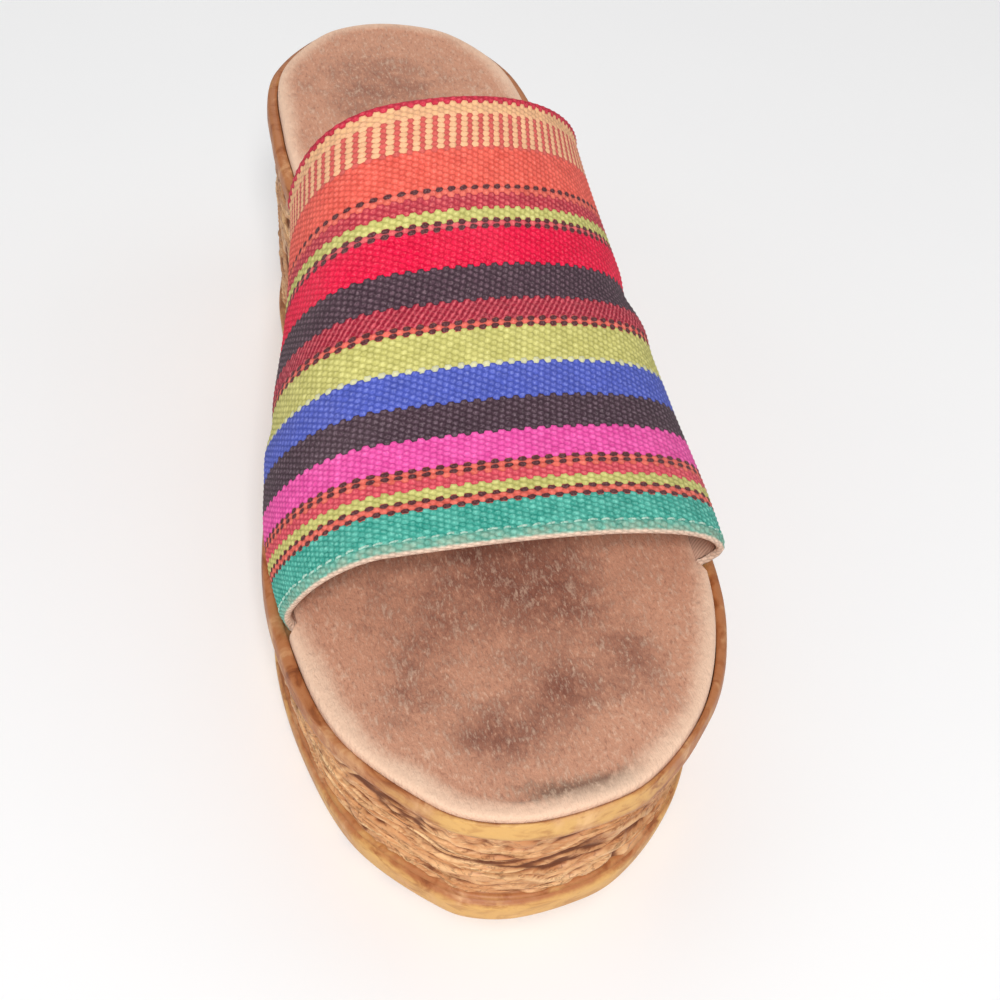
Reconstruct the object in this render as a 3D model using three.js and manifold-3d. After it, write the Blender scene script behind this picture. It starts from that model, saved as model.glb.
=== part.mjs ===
// A left platform mule sandal: a moulded wedge sole with a carved bark band round its side,
// a padded insole let into its top, and one wide woven band over the forefoot.
// Millimetres, +Z up, toe towards -Y, the wearer's outer side towards +X.
import * as THREE from 'three';
import Module from 'manifold-3d';

// Driving sizes of the last, measured on the insole
const INSOLE_LENGTH = 250;
const BALL_WIDTH = 92;
const WAIST_WIDTH = 64;
const HEEL_WIDTH = 64;
const FOREFOOT_HEIGHT = 39.5;
const HEEL_HEIGHT = 72.5;
const TOP_SPRING = 2.5;

// Sole: what its side and underside add to the insole's outline
const RIM_OUT = 3.0;
const RIM_DROP = 2.5;
const FOOT_OUT = 0.8;
const TOE_SETBACK = 6.0;
const TOE_SPRING = 2.0;
const ARCH_LIFT = 1.5;
const TOP_RIM_TALL = 5.5;
const FOOT_RIM_TALL = 9.0;
const EDGE_SHARE = 0.6;
const BAND_DEPTH = 2.6;
const GROOVE_DEPTH = 1.2;
const EDGE_ROUND = 1.6;

// Carved ridges of the side band: their rise, number, waves round the shoe, how much their
// height and line swing with the waves, and the shift of the waves from row to row
const RIDGE_RISE = 2.1;
const RIDGE_COUNT = 6;
const RIDGE_WAVES = 13;
const RIDGE_SWING = 0.25;
const RIDGE_SWAY = 0.3;
const RIDGE_SHIFT = 0.8;

// Insole
const INSOLE_THICK = 4.0;
const INSOLE_DISH = 1.2;
const ROLL_ROUND = 1.3;

// Woven band
const CLOTH_THICK = 2.0;
const INSTEP_HEIGHT = 43.5;
const SIDE_SWELL = 1.9;
const MARGIN_WIDE = 8.0;
const BEND_INSIDE = 0.8;
const TUCK_TALL = 8.0;
const HEM_RISE = 0.5;
const HEM_WIDE = 3.0;
const BINDING_WIDE = 2.4;
const HEM_RUNOUT = 1.0;

// Clearance between pieces that touch
const GAP = 0.3;

// Radius of the lasting margin's bend on the middle of the cloth
const MARGIN_BEND = CLOTH_THICK / 2 + BEND_INSIDE;

// Outline of the insole: place along the length, half widths as shares of the named width
const OUTLINE = [
  { along: 0.01, of: 'ball', lateral: 0.130, medial: 0.150 },
  { along: 0.03, of: 'ball', lateral: 0.246, medial: 0.222 },
  { along: 0.10, of: 'ball', lateral: 0.411, medial: 0.370 },
  { along: 0.20, of: 'ball', lateral: 0.512, medial: 0.446 },
  { along: 0.31, of: 'ball', lateral: 0.533, medial: 0.467 },
  { along: 0.42, of: 'ball', lateral: 0.497, medial: 0.418 },
  { along: 0.54, of: 'waist', lateral: 0.630, medial: 0.489 },
  { along: 0.66, of: 'waist', lateral: 0.557, medial: 0.437 },
  { along: 0.78, of: 'heel', lateral: 0.519, medial: 0.477 },
  { along: 0.90, of: 'heel', lateral: 0.454, medial: 0.450 },
  { along: 0.97, of: 'heel', lateral: 0.292, medial: 0.282 },
  { along: 0.99, of: 'heel', lateral: 0.170, medial: 0.180 },
];
const TOE_TIP_IN = 0.030;
const HEEL_TIP_IN = 0.015;

// Sections of the woven band from its front edge to its back edge.
// medialFoot, lateralFoot: where it leaves the sole, shares of the insole length.
// high, lean: height of the crown and how far it leans to the toe, shares of the instep.
// crown: place of the crown from inner to outer side. fullness: exponents of the two curves.
// medialSwell, lateralSwell: how far the side stands out past the rim, shares of the swell.
const BAND = [
  { at: 0, medialFoot: 0.227, lateralFoot: 0.262, high: 0.705, lean: 0.300, crown: 0.20,
    medialFullness: 1.80, lateralFullness: 2.48, medialSwell: -0.70, lateralSwell: 0.42 },
  { at: 1 / 3, medialFoot: 0.373, lateralFoot: 0.415, high: 0.792, lean: 0.362, crown: 0.27,
    medialFullness: 2.12, lateralFullness: 2.38, medialSwell: 0.27, lateralSwell: 0.60 },
  { at: 2 / 3, medialFoot: 0.520, lateralFoot: 0.567, high: 0.903, lean: 0.497, crown: 0.32,
    medialFullness: 2.49, lateralFullness: 2.17, medialSwell: 0.84, lateralSwell: 0.94 },
  { at: 1, medialFoot: 0.666, lateralFoot: 0.720, high: 1.000, lean: 0.633, crown: 0.37,
    medialFullness: 2.68, lateralFullness: 2.15, medialSwell: 0.64, lateralSwell: 1.00 },
];

// Side of the sole from the floor up. lean: share of the way from the foot's offset to the
// rim's. inset: depth behind the wall, a share of the size named in of.
// rise: share of the foot rim's height over the underside. drop: share of the top rim's
// height under its top.
const FOOT_RIM = [
  { lean: 0, of: 'edge', inset: 1, rise: 0 },
  { lean: 0, of: 'edge', inset: 0.3, rise: 0.06 },
  { lean: 0, of: 'edge', inset: 0, rise: 0.21 },
  { lean: 0.10, of: 'edge', inset: 0, rise: 0.70 },
  { lean: 0.10, of: 'groove', inset: 1, rise: 0.78 },
  { lean: 0.10, of: 'groove', inset: 1, rise: 0.86 },
  { lean: 0.15, of: 'groove', inset: 0.33, rise: 0.94 },
  { lean: 0.15, of: 'band', inset: 1, rise: 1 },
];
const TOP_RIM = [
  { lean: 0.80, of: 'band', inset: 1, drop: 1 },
  { lean: 0.90, of: 'edge', inset: 0.5, drop: 0.97 },
  { lean: 1, of: 'edge', inset: 0, drop: 0.80 },
  { lean: 1, of: 'edge', inset: 0, drop: 0.26 },
  { lean: 1, of: 'edge', inset: 0.3, drop: 0.075 },
  { lean: 1, of: 'edge', inset: 1, drop: 0 },
];

// Edge of the insole from its underside up: shares of its roll and of its thickness
const INSOLE_SIDE = [
  { inset: 0.6, rise: 0 },
  { inset: 0, rise: 0.2 },
  { inset: 0, rise: 0.67 },
  { inset: 0.3, rise: 0.9 },
  { inset: 1, rise: 1 },
  { inset: 2.6, rise: 1 },
];

// Where the top line rises from forefoot to heel, and the flat spots of the underside
const RISE_FROM = 0.27;
const RISE_TO = 0.81;
const SPRING_TO = 0.26;
const SETBACK_TO = 0.35;
const ARCH_FROM = 0.42;
const ARCH_TO = 0.68;

// Mesh steps
const STEPS_PER_STATION = 3;
const RUNG_STEPS = 6;
const CROWN_STEPS = 12;
const CROWN_SPACING = 1.35;
const BEND_STEPS = 3;
const BAND_ROWS = 19;
const LOOKUP_STEPS = 12;
const MARGIN_COLUMNS = BEND_STEPS + 3;
const HEM_FADE_COLUMNS = 2;

const clamp = THREE.MathUtils.clamp;
const lerp = THREE.MathUtils.lerp;
const smooth = (value, from, to) => THREE.MathUtils.smoothstep(value, from, to);

// Height of the insole's edge over the floor at a place along the length
function topAt(y) {
  const share = clamp(y / INSOLE_LENGTH, 0, 1);
  const rise = lerp(FOREFOOT_HEIGHT, HEEL_HEIGHT, smooth(share, RISE_FROM, RISE_TO));
  return rise + TOP_SPRING * toeFade(share, SPRING_TO);
}

// One at the toe tip, none from the given share of the length on
function toeFade(share, to) {
  return Math.max(0, 1 - share / to) ** 2;
}

// Height of the underside: toe spring, flat forefoot, a low arch, flat heel
function footAt(y) {
  const share = clamp(y / INSOLE_LENGTH, 0, 1);
  const arch = clamp((share - ARCH_FROM) / (ARCH_TO - ARCH_FROM), 0, 1);
  return TOE_SPRING * toeFade(share, SPRING_TO) + ARCH_LIFT * Math.sin(Math.PI * arch) ** 2;
}

const rimAt = (y) => topAt(y) - RIM_DROP;
const trayAt = (y) => topAt(y) - INSOLE_THICK - GAP;

// Insole outline as a closed curve: toe tip, outer side, heel tip, inner side
function outlineCurve() {
  const widths = { ball: BALL_WIDTH, waist: WAIST_WIDTH, heel: HEEL_WIDTH };
  const place = (row, side, sign) =>
    new THREE.Vector3(sign * row[side] * widths[row.of], row.along * INSOLE_LENGTH, 0);
  const toe = new THREE.Vector3(-TOE_TIP_IN * BALL_WIDTH, 0, 0);
  const heel = new THREE.Vector3(-HEEL_TIP_IN * HEEL_WIDTH, INSOLE_LENGTH, 0);
  const outer = OUTLINE.map((row) => place(row, 'lateral', 1));
  const inner = OUTLINE.map((row) => place(row, 'medial', -1)).reverse();
  return new THREE.CatmullRomCurve3([toe, ...outer, heel, ...inner], true, 'centripetal');
}

// Points round the outline with their outward directions; point i faces point count - i
function outlinePoints(stepsPerStation) {
  const curve = outlineCurve();
  const count = curve.points.length * stepsPerStation;
  return Array.from({ length: count }, (_, i) => {
    const turn = i / count;
    const point = curve.getPoint(turn);
    const along = curve.getTangent(turn);
    return { x: point.x, y: point.y, outX: along.y, outY: -along.x, turn };
  });
}

// A ring of points beside the outline; out and height are functions of the outline point
function ring(points, out, height) {
  return points.map((point) => {
    const offset = out(point);
    const y = point.y + point.outY * offset;
    return new THREE.Vector3(point.x + point.outX * offset, y, height(y, point));
  });
}

// Collects vertices and triangles of one closed skin
class Skin {
  constructor() {
    this.vertices = [];
    this.triangles = [];
  }

  add(points) {
    const first = this.vertices.length;
    this.vertices.push(...points);
    return points.map((_, i) => first + i);
  }

  face(a, b, c) {
    this.triangles.push(a, b, c);
  }

  quad(a, b, c, d) {
    this.face(a, b, c);
    this.face(a, c, d);
  }

  // Side between two rings, facing out where the second lies over the first
  wall(lower, upper) {
    const count = lower.length;
    for (let i = 0; i < count; i += 1) {
      const next = (i + 1) % count;
      this.quad(lower[i], lower[next], upper[next], upper[i]);
    }
  }

  // Strip between two rows of points
  strip(first, second) {
    for (let i = 0; i + 1 < first.length; i += 1) {
      this.quad(first[i], first[i + 1], second[i + 1], second[i]);
    }
  }

  // Cap of a ring, made of rungs from the outer side to the inner side.
  // shape moves a rung's inner points; up says which way the cap faces.
  cap(ringIds, up, shape = (point) => point) {
    const half = ringIds.length / 2;
    const rungs = [[ringIds[0]]];
    for (let i = 1; i < half; i += 1) {
      rungs.push(this.rung(ringIds[i], ringIds[ringIds.length - i], shape));
    }
    rungs.push([ringIds[half]]);
    for (let i = 0; i < half; i += 1) {
      this.rungFaces(rungs[i], rungs[i + 1], up);
    }
  }

  rung(fromId, toId, shape) {
    const from = this.vertices[fromId];
    const to = this.vertices[toId];
    const inner = [];
    for (let i = 1; i < RUNG_STEPS; i += 1) {
      const share = i / RUNG_STEPS;
      inner.push(shape(from.clone().lerp(to, share), share, from.distanceTo(to)));
    }
    return [fromId, ...this.add(inner), toId];
  }

  rungFaces(near, far, up) {
    const put = (a, b, c) => (up ? this.face(a, b, c) : this.face(a, c, b));
    const last = Math.max(near.length, far.length) - 1;
    for (let i = 0; i < last; i += 1) {
      if (near.length === 1) {
        put(near[0], far[i], far[i + 1]);
      } else if (far.length === 1) {
        put(near[i], far[0], near[i + 1]);
      } else {
        put(near[i], far[i], far[i + 1]);
        put(near[i], far[i + 1], near[i + 1]);
      }
    }
  }

  geometry() {
    const positions = this.vertices.flatMap((vertex) => vertex.toArray());
    return meshGeometry(positions, this.triangles);
  }
}

function meshGeometry(positions, triangles) {
  const geometry = new THREE.BufferGeometry();
  geometry.setAttribute('position', new THREE.Float32BufferAttribute(positions, 3));
  geometry.setIndex([...triangles]);
  geometry.computeVertexNormals();
  return geometry;
}

// Offset of the sole's wall from the insole outline; lean 0 is its foot, 1 its top rim
function wallOut(point, lean) {
  const ahead = Math.max(0, 1 - clamp(point.y / INSOLE_LENGTH, 0, 1) / SETBACK_TO);
  return lerp(FOOT_OUT - TOE_SETBACK * ahead, RIM_OUT, lean);
}

// One ring of the sole's side for a row of a table
function sideRing(points, row, height) {
  const edge = Math.min(EDGE_ROUND, EDGE_SHARE * (RIM_OUT - GAP));
  const sizes = { edge, groove: GROOVE_DEPTH, band: BAND_DEPTH };
  return ring(points, (point) => wallOut(point, row.lean) - row.inset * sizes[row.of], height);
}

// Rings of the sole from the edge of its underside to the edge of the insole's tray
function soleRings(points) {
  const foot = FOOT_RIM.map((row) =>
    sideRing(points, row, (y) => footAt(y) + row.rise * FOOT_RIM_TALL));
  const top = TOP_RIM.map((row) =>
    sideRing(points, row, (y) => rimAt(y) - row.drop * TOP_RIM_TALL));
  const tray = [rimAt, trayAt].map((height) => ring(points, () => GAP, height));
  return [...foot, ...barkRings(points), ...top, ...tray];
}

// Carved band: wavy ridges with crevices between them
function barkRings(points) {
  const rows = 2 * RIDGE_COUNT - 1;
  const leanFrom = FOOT_RIM[FOOT_RIM.length - 1].lean;
  return Array.from({ length: rows }, (_, i) => {
    const share = (i + 1) / (rows + 1);
    const lean = lerp(leanFrom, TOP_RIM[0].lean, share);
    const wave = (point) => Math.sin(2 * Math.PI * RIDGE_WAVES * point.turn + RIDGE_SHIFT * i);
    const crest = (point) => 1 - RIDGE_SWING + RIDGE_SWING * wave(point);
    const ridge = (point) => (i % 2 === 0 ? RIDGE_RISE * crest(point) : 0);
    const out = (point) => wallOut(point, lean) - BAND_DEPTH + ridge(point);
    const height = (y, point) => {
      const sway = (RIDGE_SWAY * wave(point)) / rows;
      return lerp(footAt(y) + FOOT_RIM_TALL, rimAt(y) - TOP_RIM_TALL, share + sway);
    };
    return ring(points, out, height);
  });
}

function soleGeometry() {
  const skin = new Skin();
  const ids = soleRings(outlinePoints(STEPS_PER_STATION)).map((points) => skin.add(points));
  skin.cap(ids[0], false, (point) => point.setZ(footAt(point.y)));
  for (let i = 0; i + 1 < ids.length; i += 1) {
    skin.wall(ids[i], ids[i + 1]);
  }
  skin.cap(ids[ids.length - 1], true, (point) => point.setZ(trayAt(point.y)));
  return skin.geometry();
}

// Insole with a rolled edge and a slight dish, before the band's pocket is cut
function insoleGeometry() {
  const points = outlinePoints(STEPS_PER_STATION);
  const over = (rise) => (y) => trayAt(y) + GAP + rise;
  const skin = new Skin();
  const ids = INSOLE_SIDE.map((row) =>
    skin.add(ring(points, () => -row.inset * ROLL_ROUND, over(row.rise * INSOLE_THICK))));
  skin.cap(ids[0], false, (point) => point.setZ(over(0)(point.y)));
  for (let i = 0; i + 1 < ids.length; i += 1) {
    skin.wall(ids[i], ids[i + 1]);
  }
  skin.cap(ids[ids.length - 1], true, (point, share, width) => {
    const dish = INSOLE_DISH * 4 * share * (1 - share) * (width / BALL_WIDTH);
    return point.setZ(over(INSOLE_THICK)(point.y) - dish);
  });
  return skin.geometry();
}

// Value of a column of the band's table between its rows: the cubic through the four rows
function bandValue(column, at) {
  return BAND.reduce((sum, row) => {
    const others = BAND.filter((other) => other !== row);
    const weight = others.reduce((product, other) =>
      (product * (at - other.at)) / (row.at - other.at), 1);
    return sum + row[column] * weight;
  }, 0);
}

// Half width of the insole on one side (1 outer, -1 inner) at a place along the length
function edgeLookup(side) {
  const half = outlinePoints(LOOKUP_STEPS)
    .filter((point) => point.x * side > 0)
    .sort((a, b) => a.y - b.y);
  return (y) => {
    const next = Math.max(1, half.findIndex((point) => point.y > y));
    const share = (y - half[next - 1].y) / (half[next].y - half[next - 1].y);
    return lerp(half[next - 1].x, half[next].x, share);
  };
}

const EDGE = { lateral: edgeLookup(1), medial: edgeLookup(-1) };

// Where one side of the band leaves the sole, at a place from its front to its back edge
function bandFoot(name, at) {
  const sign = name === 'lateral' ? 1 : -1;
  const y = bandValue(`${name}Foot`, at) * INSOLE_LENGTH;
  const edge = EDGE[name](y);
  const out = RIM_OUT + bandValue(`${name}Swell`, at) * SIDE_SWELL;
  return {
    y,
    sign,
    out,
    x: edge + sign * (out - CLOTH_THICK / 2),
    upright: edge - (sign * CLOTH_THICK) / 2,
    z: topAt(y) - RIM_DROP + GAP,
    tray: trayAt(y),
    fullness: bandValue(`${name}Fullness`, at),
  };
}

// Lasting margin under the insole and its bend up to the sole's edge, from inside outwards
function marginPath(foot, extra) {
  const level = foot.tray + GAP + CLOTH_THICK / 2;
  const bendX = foot.upright - foot.sign * MARGIN_BEND;
  const path = [
    new THREE.Vector3(bendX - foot.sign * (MARGIN_WIDE + extra), foot.y, level),
    new THREE.Vector3(bendX - foot.sign * (MARGIN_WIDE / 2), foot.y, level),
  ];
  for (let i = 0; i <= BEND_STEPS; i += 1) {
    const angle = ((i / BEND_STEPS) * Math.PI) / 2;
    const x = bendX + foot.sign * MARGIN_BEND * Math.sin(angle);
    path.push(new THREE.Vector3(x, foot.y, level + MARGIN_BEND * (1 - Math.cos(angle))));
  }
  return path;
}

// One side of the arch from just over the sole's edge up to the crown
function archPath(foot, crown) {
  const start = foot.tray + GAP + CLOTH_THICK / 2 + MARGIN_BEND;
  const path = [];
  for (let i = 1; i <= CROWN_STEPS; i += 1) {
    const angle = (Math.PI / 2) * (i / CROWN_STEPS) ** CROWN_SPACING;
    const across = Math.max(0, Math.cos(angle)) ** (2 / foot.fullness);
    const rise = Math.sin(angle) ** (2 / foot.fullness);
    const z = lerp(start, crown.z, rise);
    const tuck = (1 - clamp((z - start) / TUCK_TALL, 0, 1)) ** 2;
    const side = foot.x - foot.sign * foot.out * tuck;
    const x = crown.x + (side - crown.x) * across;
    const y = foot.y + (crown.baseY - foot.y) * (1 - across) - crown.lean * rise;
    path.push(new THREE.Vector3(x, y, z));
  }
  return path;
}

// Middle of the cloth across the foot at a place from the band's front edge to its back
function bandSection(at, extra) {
  const outer = bandFoot('lateral', at);
  const inner = bandFoot('medial', at);
  const share = bandValue('crown', at);
  const crown = {
    x: lerp(inner.x, outer.x, share),
    baseY: lerp(inner.y, outer.y, share),
    lean: bandValue('lean', at) * INSTEP_HEIGHT,
    z: lerp(inner.z, outer.z, share) + bandValue('high', at) * INSTEP_HEIGHT - CLOTH_THICK / 2,
  };
  const outerSide = [...marginPath(outer, extra), ...archPath(outer, crown)];
  const innerSide = [...marginPath(inner, extra), ...archPath(inner, crown)];
  return [...outerSide, ...innerSide.slice(0, -1).reverse()];
}

// Places of the band's rows: close together at the hem and the binding, even between them
function bandRows(spread) {
  const wide = INSOLE_LENGTH * (BAND[BAND.length - 1].medialFoot - BAND[0].medialFoot);
  const hem = HEM_WIDE / wide;
  const binding = BINDING_WIDE / wide;
  const step = HEM_RUNOUT / wide;
  const inner = Array.from({ length: BAND_ROWS }, (_, i) =>
    lerp(hem + step, 1 - binding - step, i / (BAND_ROWS - 1)));
  return [-spread / wide, hem, ...inner, 1 - binding, 1 + spread / wide];
}

// Outward direction of the cloth at one point of its grid
function clothNormal(grid, row, column) {
  const rowSpan = [Math.max(0, row - 1), Math.min(grid.length - 1, row + 1)];
  const columnSpan = [Math.max(0, column - 1), Math.min(grid[0].length - 1, column + 1)];
  const along = grid[rowSpan[1]][column].clone().sub(grid[rowSpan[0]][column]);
  const across = grid[row][columnSpan[1]].clone().sub(grid[row][columnSpan[0]]);
  return along.cross(across).normalize();
}

// Rise of the hem and binding; it fades out towards the sole, where the cloth goes under
function hemRise(row, rows, column, columns) {
  const edge = row <= 1 || row >= rows - 2;
  const fromMargin = Math.min(column, columns - 1 - column) - MARGIN_COLUMNS;
  return edge ? HEM_RISE * clamp(fromMargin / HEM_FADE_COLUMNS, 0, 1) : 0;
}

// The woven band as a closed wall; grow makes the larger form that cuts its pocket
function bandGeometry(grow = 0) {
  const rows = bandRows(grow);
  const grid = rows.map((at) => bandSection(at, grow));
  const columns = grid[0].length;
  const skin = new Skin();
  const face = (side) => grid.map((line, row) => skin.add(line.map((point, column) => {
    const hem = hemRise(row, rows.length, column, columns);
    const thick = (CLOTH_THICK + hem) / 2 + grow;
    return point.clone().addScaledVector(clothNormal(grid, row, column), side * thick);
  })));
  const outside = face(1);
  const inside = face(-1);
  const lastRow = rows.length - 1;
  for (let i = 0; i < lastRow; i += 1) {
    skin.strip(outside[i + 1], outside[i]);
    skin.strip(inside[i], inside[i + 1]);
  }
  const ends = (line, column) => line.map((ids) => ids[column]);
  skin.strip(outside[0], inside[0]);
  skin.strip(inside[lastRow], outside[lastRow]);
  skin.strip(ends(inside, 0), ends(outside, 0));
  skin.strip(ends(outside, columns - 1), ends(inside, columns - 1));
  return skin.geometry();
}

const wasm = await Module();
wasm.setup();

function toSolid(geometry) {
  const mesh = new wasm.Mesh({
    numProp: 3,
    vertProperties: new Float32Array(geometry.getAttribute('position').array),
    triVerts: new Uint32Array(geometry.getIndex().array),
  });
  return new wasm.Manifold(mesh);
}

function fromSolid(solid) {
  const mesh = solid.getMesh();
  return meshGeometry(mesh.vertProperties, mesh.triVerts);
}

// The insole leaves room for the band's lasting margin all round it
function pocketedInsole() {
  return fromSolid(toSolid(insoleGeometry()).subtract(toSolid(bandGeometry(GAP))));
}

function namedMesh(name, geometry, color, roughness) {
  const material = new THREE.MeshStandardMaterial({ color, roughness, metalness: 0 });
  const mesh = new THREE.Mesh(geometry, material);
  mesh.name = name;
  return mesh;
}

const sandal = new THREE.Group();
sandal.add(namedMesh('sole', soleGeometry(), 0xc89b52, 0.55));
sandal.add(namedMesh('insole', pocketedInsole(), 0xa9806f, 0.95));
sandal.add(namedMesh('upper', bandGeometry(), 0xb8343c, 0.9));

// The origin is the middle of the footprint, on the floor
const bounds = new THREE.Box3().setFromObject(sandal);
const middle = bounds.getCenter(new THREE.Vector3());
sandal.position.set(-middle.x, -middle.y, -bounds.min.z);

export default sandal;
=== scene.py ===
"""Platform sandal, left shoe: woven band, suede insole and moulded sole with a carved side."""

import logging
import math
from dataclasses import dataclass, field
from enum import Enum
from functools import partialmethod
from typing import Callable, Sequence, Union

import bmesh
import bpy
import numpy as np
from mathutils import Matrix, Vector


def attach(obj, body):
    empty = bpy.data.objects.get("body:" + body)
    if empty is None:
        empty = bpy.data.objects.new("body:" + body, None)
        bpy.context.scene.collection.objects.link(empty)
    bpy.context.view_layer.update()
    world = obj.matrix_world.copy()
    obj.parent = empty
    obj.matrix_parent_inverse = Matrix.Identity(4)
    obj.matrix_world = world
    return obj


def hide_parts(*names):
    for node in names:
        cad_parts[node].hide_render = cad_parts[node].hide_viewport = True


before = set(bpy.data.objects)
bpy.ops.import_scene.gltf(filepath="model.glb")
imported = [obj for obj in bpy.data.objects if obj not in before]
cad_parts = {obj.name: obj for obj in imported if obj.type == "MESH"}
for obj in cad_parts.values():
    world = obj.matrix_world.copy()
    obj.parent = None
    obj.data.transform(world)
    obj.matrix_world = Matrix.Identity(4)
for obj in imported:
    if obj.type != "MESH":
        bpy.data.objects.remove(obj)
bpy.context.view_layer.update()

LOG = logging.getLogger("sandal")
BLACK = (0.0, 0.0, 0.0, 1.0)
WHITE = (1.0, 1.0, 1.0, 1.0)

Array = np.ndarray
Object = bpy.types.Object
Material = bpy.types.Material
Socket = bpy.types.NodeSocket
Number = Union[float, "Channel"]
Triple = tuple[float, float, float]
Colour = tuple[int, int, int]


def srgb(red: float, green: float, blue: float) -> tuple[float, float, float, float]:
    """A colour picked on screen, 0 to 255, as the linear colour that shaders mix."""
    shares = [part / 255 for part in (red, green, blue)]
    linear = [s / 12.92 if s <= 0.04045 else ((s + 0.055) / 1.055) ** 2.4 for s in shares]
    return (*linear, 1.0)


def smooth(value: Array, start: float, end: float) -> Array:
    """Zero up to start, one from end on, with a soft step between."""
    share = np.clip((value - start) / (end - start), 0.0, 1.0)
    return share * share * (3.0 - 2.0 * share)


def lerp(first: Array, second: Array, share: Array) -> Array:
    """Value at a share of the way from first to second."""
    return first + (second - first) * share


def unit(vectors: Array) -> Array:
    """Vectors at length one."""
    return vectors / np.linalg.norm(vectors, axis=-1, keepdims=True)


def reach_of(line: Array) -> Array:
    """Length of a line of points up to each of them."""
    return np.concatenate([[0.0], np.cumsum(np.linalg.norm(np.diff(line, axis=0), axis=1))])


def read_at(wanted: Array, places: Array, rows: Array) -> Array:
    """Rows of numbers given at places, read at the wanted places."""
    return np.stack([np.interp(wanted, places, column) for column in rows.T], axis=1)


def joined(rows: Array) -> Array:
    """Rows round the shoe with their first column once more at the end."""
    return np.concatenate([rows, rows[:, :1]], axis=1)


def eased(ring: Array) -> Array:
    """Values round a ring, each drawn a little towards its two neighbours."""
    return 0.5 * ring + 0.25 * (np.roll(ring, 1) + np.roll(ring, -1))


# Random fields


class RoundNoise:
    """Smooth random values from -1 to 1 that close on themselves along their first direction."""

    def __init__(self, seed: int, columns: int, rows: int) -> None:
        """Draws the grid of values.

        Args:
            seed: Start of the random draws.
            columns: Grid cells once round.
            rows: Grid cells from bottom to top.
        """
        self.grid = np.random.default_rng(seed).uniform(-1.0, 1.0, (columns, rows + 2))
        self.columns = columns
        self.rows = rows

    def at(self, turn: Array, level: Array) -> Array:
        """Reads the field.

        Args:
            turn: Place round the shoe, one for a full turn.
            level: Place from bottom to top, 0 to 1.

        Returns:
            The value at each place.
        """
        across = np.mod(turn, 1.0) * self.columns
        up = np.clip(level, 0.0, 1.0) * self.rows
        column = np.floor(across).astype(int)
        row = np.floor(up).astype(int)
        along, rise = smooth(across - column, 0.0, 1.0), smooth(up - row, 0.0, 1.0)
        near, far = column % self.columns, (column + 1) % self.columns
        low = lerp(self.grid[near, row], self.grid[far, row], along)
        high = lerp(self.grid[near, row + 1], self.grid[far, row + 1], along)
        return lerp(low, high, rise)


# Seed, cells once round the shoe and cells from bottom to top of each field
FIELDS = {
    "slow_border": (11, 34, 1), "quick_border": (12, 90, 1),
    "bend": (21, 24, 3), "small_bend": (22, 60, 6), "ripple": (23, 170, 12),
    "lean": (24, 40, 4), "opening": (25, 52, 6), "under_rim_wobble": (26, 70, 1),
    "slow_rim": (41, 40, 1), "quick_rim": (42, 120, 1),
}


def drift(name: str, turn: Array, level: float = 0.5) -> Array:
    """One of the fields above, read round the shoe at a level."""
    return RoundNoise(*FIELDS[name]).at(turn, np.full(turn.shape, level))


class Flakes:
    """Long irregular cells, like strips of bark, closed round the shoe."""

    def __init__(self, seed: int, columns: int, rows: int) -> None:
        """Draws the middle and the tint of each cell.

        Args:
            seed: Start of the random draws.
            columns: Cells once round.
            rows: Cells from bottom to top.
        """
        draw = np.random.default_rng(seed)
        self.columns = columns
        self.rows = rows + 2
        self.middle = draw.uniform(0.1, 0.9, (columns, self.rows, 2))
        self.tint = draw.uniform(0.0, 1.0, (columns, self.rows))

    def at(self, across: Array, up: Array, squeeze: float) -> tuple[Array, Array, Array]:
        """Finds the cell that holds each place.

        Args:
            across: Place round the shoe in cells.
            up: Place from bottom to top in cells.
            squeeze: How little a step round the shoe counts beside a step up.

        Returns:
            Distance to the border of the cell, its tint, and the place in it from low to high.
        """
        column, row = np.floor(across).astype(int), np.floor(up).astype(int)
        nearest = np.full(across.shape, 9.0)
        second = np.full(across.shape, 9.0)
        tint = np.zeros(across.shape)
        lift = np.zeros(across.shape)
        for step_across in (-2, -1, 0, 1, 2):
            for step_up in (-1, 0, 1):
                near, level = column + step_across, row + step_up
                index = (near % self.columns, np.clip(level, 0, self.rows - 1))
                from_across = near + self.middle[index][..., 0] - across
                from_up = level + self.middle[index][..., 1] - up
                distance = np.hypot(from_across * squeeze, from_up)
                closer = distance < nearest
                second = np.where(closer, nearest, np.minimum(second, distance))
                tint = np.where(closer, self.tint[index], tint)
                lift = np.where(closer, -from_up, lift)
                nearest = np.where(closer, distance, nearest)
        return second - nearest, tint, lift


# Mesh helpers


def to_frame(points: Array) -> Array:
    """Points in millimetres from the toe tip, as metres in the frame."""
    return (points + Last.SHIFT) / 1000.0


def start_clean() -> None:
    """Leaves nothing selected, so that an operator acts only on the new piece."""
    if bpy.context.object and bpy.context.object.mode != "OBJECT":
        bpy.ops.object.mode_set(mode="OBJECT")
    bpy.ops.object.select_all(action="DESELECT")


def pick_out(*pieces: Object) -> None:
    """Selects these pieces alone and makes the last of them active."""
    start_clean()
    for piece in pieces:
        piece.select_set(True)
    bpy.context.view_layer.objects.active = pieces[-1]


def laid_grid(name: str, points: Array) -> Object:
    """Adds a grid primitive and lays its vertices on a surface.

    Args:
        name: Name of the piece.
        points: Rows by columns by three, in millimetres from the toe tip.

    Returns:
        The new object, at the origin, with its place in its mesh.
    """
    rows, columns = points.shape[:2]
    start_clean()
    bpy.ops.mesh.primitive_grid_add(x_subdivisions=columns - 1, y_subdivisions=rows - 1,
                                    size=1.0, location=(0.0, 0.0, 0.0))
    piece = bpy.context.object
    piece.name = name
    piece.data.name = name
    piece.data.vertices.foreach_set("co", to_frame(points).reshape(-1))
    piece.data.update()
    return piece


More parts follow.
